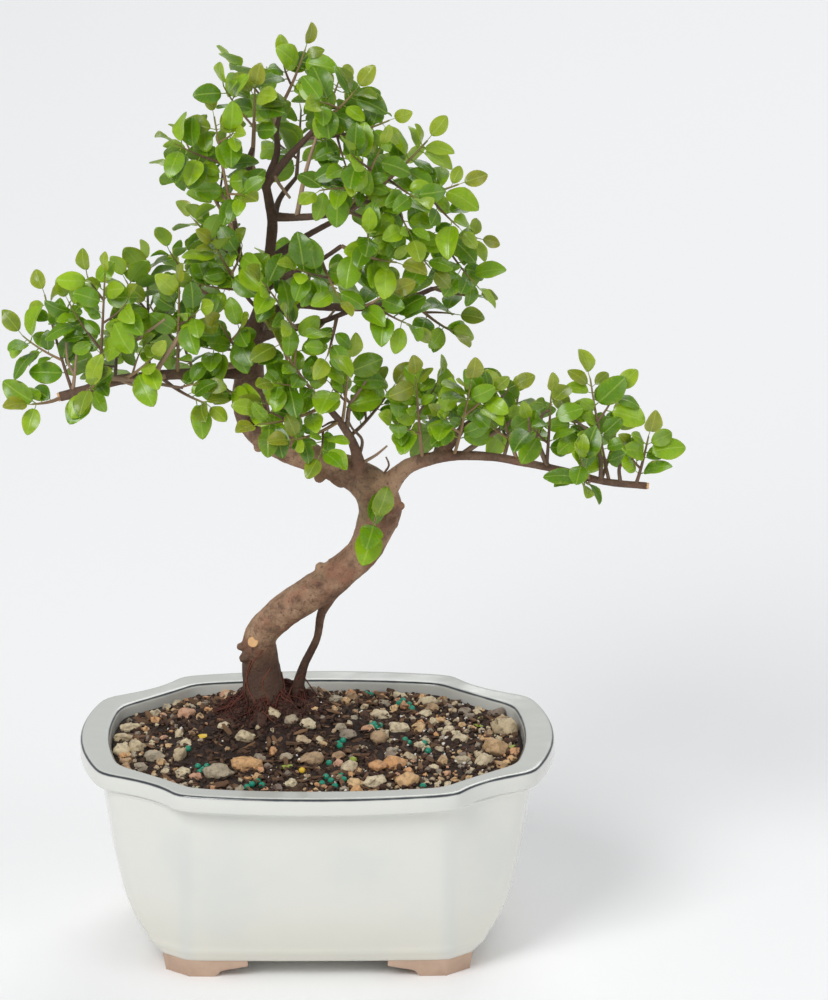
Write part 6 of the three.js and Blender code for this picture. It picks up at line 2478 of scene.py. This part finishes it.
BARE_TWIGS = {
    "stub side twig": BareTwig(
        "lowRight", ((460, 450), (480, 442), (497, 431), (515, 419), (528, 410)), (1.3, 0.8)),
    "right fork": BareTwig("lowRight", ((522, 459), (519, 442), (507, 434)), (1.2, 0.7), 0.2),
    "right antler": BareTwig("lowRight", ((549, 465), (536, 440), (530, 431), (529, 408)), (1.2, 0.5)),
    "right antler tine": BareTwig(
        "right antler", ((536, 440), (541, 425), (542, 415), (551, 409)), (0.9, 0.5), 0.1),
    "right antler spur": BareTwig("right antler", ((536, 440), (530, 438), (524, 441)), (0.8, 0.5), 0.2),
    "far right twig": BareTwig(
        "lowRight", ((603, 476), (600, 455), (592, 435), (580, 424), (571, 418)), (1.0, 0.5), 0.1),
    "far right hook": BareTwig(
        "lowRight", ((592, 478), (588, 484), (583, 475), (580, 452)), (0.7, 0.4), 0.5, -4),
    "far right end": BareTwig(
        "lowRight", ((622, 478), (620, 466), (630, 460), (637, 456)), (0.9, 0.4), 0.1),
    "stub upright": BareTwig("stub", ((463, 447), (461, 422), (453, 405), (451, 377)), (0.8, 0.4), 0.05),
    "front mid upright": BareTwig(
        "frontMid", ((349, 430), (350, 405), (356, 396), (366, 381)), (1.1, 0.5), 0.35, -6),
    "front mid arm": BareTwig("front mid upright", ((350, 411), (360, 404), (372, 401)), (0.8, 0.4), 0.2),
    "front mid tine": BareTwig("front mid upright", ((350, 404), (345, 396), (343, 384)), (0.7, 0.4), 0.4),
    "front mid left": BareTwig("frontMid", ((343, 420), (332, 422), (322, 427)), (0.7, 0.4), 0.1),
    "bend spray": BareTwig(
        "frontMid", ((368, 458), (362, 440), (352, 428), (347, 417)), (0.8, 0.4), 0.1, -8),
    "bend spray right": BareTwig("frontMid", ((366, 463), (376, 455), (387, 446)), (0.8, 0.4), 0.55, -6),
    "bend hook": BareTwig("trunk", ((383, 484), (385, 472), (389, 465), (386, 457)), (0.6, 0.35)),
    "left pale twig": BareTwig(
        "left", ((98, 385), (106, 352), (125, 347), (150, 330), (165, 319)), (1.0, 0.5), 0.75, -4),
    "left pale prong": BareTwig(
        "left", ((155, 378), (160, 365), (170, 350), (185, 326)), (1.3, 0.9), 0.75, -6),
    "left under twig": BareTwig(
        "left", ((92, 392), (100, 380), (120, 379), (150, 381), (165, 376)), (1.0, 1.1), 0.4, -4),
    "left under spur": BareTwig("left under twig", ((118, 379), (130, 384), (140, 387)), (0.8, 0.5), 0.5),
    "left under long": BareTwig("left under twig", ((148, 381), (165, 385), (183, 388)), (0.9, 0.6), 0.15),
    "left end upright": BareTwig("left", ((72, 392), (75, 370), (77, 348)), (0.9, 0.4), 0.6),
    "left end cross": BareTwig("left end upright", ((74, 375), (68, 362), (66, 342)), (0.8, 0.4), 0.5),
    "pale cut arm": BareTwig("trunk", ((266, 362), (250, 362), (221, 367)), (1.7, 1.5), 0.95, -12),
    "left mid spur": BareTwig("left", ((200, 376), (210, 366), (219, 357)), (1.0, 0.6), 0.6),
    "crown mast": BareTwig("upRight", ((297, 214), (305, 175), (317, 135)), (1.2, 0.7), 0.7, -4),
    "crown cross": BareTwig("leader", ((267, 166), (278, 182), (290, 198)), (0.9, 0.6), 0.5, -12),
    "crown left upright": BareTwig(
        "crownLeft", ((262, 180), (253, 165), (254, 145), (255, 122)), (0.9, 0.5), 0.6, -6),
    "crown inner upright": BareTwig("leader", ((278, 155), (277, 138), (276, 122)), (0.7, 0.4), 0.4),
    "crown long stem": BareTwig(
        "leftUp", ((256, 288), (243, 265), (236, 225), (226, 185), (219, 147)), (1.1, 0.5), 0.7, -4),
    "crown left stem": BareTwig(
        "leftUp", ((240, 240), (228, 205), (214, 184), (200, 170)), (0.8, 0.45), 0.5, -4),
    "crown left base": BareTwig("trunk", ((264, 302), (247, 285), (240, 268)), (1.3, 0.9), 0.55, -4),
    "brow drop": BareTwig("midRight", ((310, 268), (309, 280), (307, 296)), (0.8, 0.5), 0.1),
    "front stem": BareTwig("trunk", ((268, 318), (280, 340), (288, 365), (295, 396)), (0.8, 0.4), 0.5, -22),
    "waist twig": BareTwig("rightLow", ((298, 333), (315, 330), (335, 310)), (0.8, 0.5), 0.55, -4),
    "right rear end": BareTwig("rightMid", ((430, 290), (450, 284), (470, 279)), (1.0, 0.5), 0.05),
}
BARK_ROOTS = {
    "root below the cut": ((251, 660), (247, 676), (249, 690), (256, 702), (264, 713), (273, 722)),
    "root on the left": ((262, 650), (252, 664), (246, 682), (244, 700)),
    "root on the right": ((284, 655), (281, 672), (284, 690), (280, 706)),
    "root across": ((270, 668), (262, 684), (268, 700), (262, 714)),
    "root by the prop": ((299, 676), (292, 688), (286, 700), (275, 712)),
    "root right of the prop": ((302, 674), (308, 686), (318, 697), (328, 706)),
}
ROUND_CUT = (253.0, 642.0)


@dataclass
class WoodTrim:
    """Leafless twigs, pale cut faces and thin roots that run down the bark."""

    lift: float = 0.25
    twig_sides: int = 8
    root_sides: int = 6
    root_radius: float = 0.3
    root_taper: float = 0.6
    root_pale: float = 0.7
    cut_radius: float = 2.3
    cut_sides: int = 20
    cut_rows: tuple[Pair, ...] = ((-1.2, 0.8), (0.15, 1.0), (0.5, 0.92), (0.4, 0.5))
    line_step: float = 1.5
    samples: int = 120
    view: Viewpoint = field(default_factory=Viewpoint)

    def build(self, wood: BVHTree, soil: BVHTree) -> list[Object]:
        """Makes the twigs, the cut faces and the roots.

        Args:
            wood: The surface of the finished wood.
            soil: The surface of the soil.

        Returns:
            The three pieces.
        """
        finish = SoilFinish("Bare twigs", linear(52, 34, 28), linear(190, 160, 130), 420.0, 0.8, 0.25).build()
        twigs = Lines()
        paths = dict(LIMB_PATHS)
        for name, twig in BARE_TWIGS.items():
            start = self.nearest(paths[twig.limb], twig.marks[0])
            steps = len(twig.marks) - 1
            route = [start] + [self.view.beyond(*mark, start[1] + twig.lean * i / steps)
                               for i, mark in enumerate(twig.marks[1:], 1)]
            paths[name] = self.add_line(twigs, route, twig.radii, twig.pale)
        made = tube_recipe().apply(twigs.build("Bare_twigs"), Sides=self.twig_sides, Material=finish)
        roots = Lines()
        for marks in BARK_ROOTS.values():
            route = [place for place in (self.touch(mark, wood, soil) for mark in marks) if place is not None]
            radii = (self.root_radius, self.root_radius * self.root_taper)
            self.add_line(roots, route, radii, self.root_pale)
        root_finish = SoilFinish("Bark roots", linear(58, 26, 18), linear(132, 76, 54), grain=300.0).build()
        hung = tube_recipe().apply(roots.build("Bark_roots"), Sides=self.root_sides, Material=root_finish)
        cuts = self.cuts(wood)
        return [hand_over(piece, Slot.BARK) for piece in (made, hung, cuts)]

    def nearest(self, path: Path, mark: Pair) -> Array:
        """Returns the place on a path that is seen nearest to a pixel."""
        places = [path.place(share) for share in np.linspace(0, 1, self.samples)]
        return min(places, key=lambda place: math.dist(self.view.pixel(place), mark))

    def add_line(self, lines: Lines, route: Sequence[Array], radii: Pair, pale: float) -> Path:
        """Adds a smooth line through a route and returns it."""
        last = len(route) - 1
        limb = Limb(tuple((*place, mix(*radii, i / last)) for i, place in enumerate(route)))
        path = limb.path()
        shares = np.linspace(0, 1, int(path.length / self.line_step) + 3)
        lines.add([path.place(share) for share in shares], [limb.radius(path, share) for share in shares],
                  [0.0] * len(shares), pale)
        return path

    def touch(self, mark: Pair, *surfaces: BVHTree) -> Array | None:
        """Finds the place just above the nearest surface under a pixel."""
        start, ray = self.view.sight(mark)
        hits = [surface.ray_cast(to_frame(start), ray) for surface in surfaces]
        hits = [hit for hit in hits if hit[0] is not None]
        if not hits:
            return None
        place, normal, _, _ = min(hits, key=lambda hit: hit[3])
        return np.array(to_pot(place)) + np.array(normal) * self.lift

    def cuts(self, wood: BVHTree) -> Object:
        """Makes the pale cut faces of the branches' ends and of the round cut on the trunk."""
        points: list[Array] = []
        faces: list[tuple[int, ...]] = []
        spots = []
        for name in ("left", "lowRight", "stub"):
            path, tangent = LIMB_PATHS[name], LIMB_PATHS[name].tangent(1.0)
            spots.append((path.place(1.0) + tangent * 0.1, tangent, LIMBS[name].radius(path, 1.0) * 0.9))
        start, ray = self.view.sight(ROUND_CUT)
        place, normal, _, _ = wood.ray_cast(to_frame(start), ray)
        outward = unit(np.array(normal) * 0.4 - np.array(ray) * 0.6)
        spots.append((np.array(to_pot(place)), outward, self.cut_radius))
        count = self.cut_sides
        for place, outward, radius in spots:
            side = unit(np.cross(outward, (0.3, 0.2, 1.0)))
            upward = np.cross(outward, side)
            turns = [math.tau * i / count for i in range(count)]
            first = len(points)
            for depth, reach in self.cut_rows:
                points += [place + outward * depth
                           + (side * math.cos(turn) + upward * math.sin(turn)) * reach * radius
                           for turn in turns]
            for row in range(len(self.cut_rows) - 1):
                low = first + row * count
                faces += [(low + i, low + (i + 1) % count, low + count + (i + 1) % count, low + count + i)
                          for i in range(count)]
            faces.append(tuple(first + count - 1 - i for i in range(count)))
            faces.append(tuple(first + (len(self.cut_rows) - 1) * count + i for i in range(count)))
        made = new_mesh_object("Cut_faces", points, faces, smooth=False)
        made.data.materials.append(CutWoodFinish().build())
        return made


def write_sizes() -> None:
    """Works out the CAD box and the visual model's box."""
    boxes = {"cad": CAD_BOX, "visual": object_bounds()}
    {name: [list(corner) for corner in box] for name, box in boxes.items()}


def main() -> None:
    """Builds the scene and reports each piece."""
    logging.basicConfig(level=logging.INFO, format="%(message)s")
    wood = Tree().build()
    surface = surface_of(wood)
    soil = Soil().build(surface)
    pieces = [wood, *soil, *Pot().build(), *Foliage().build()]
    pieces += WoodTrim().build(surface, surface_of(soil[0]))
    DrainScreens().build()
    LOG.info("pieces in all: %d", len(pieces))
    Studio().build()
    Viewpoint().build()
    write_sizes()


if __name__ == "__main__":
    main()
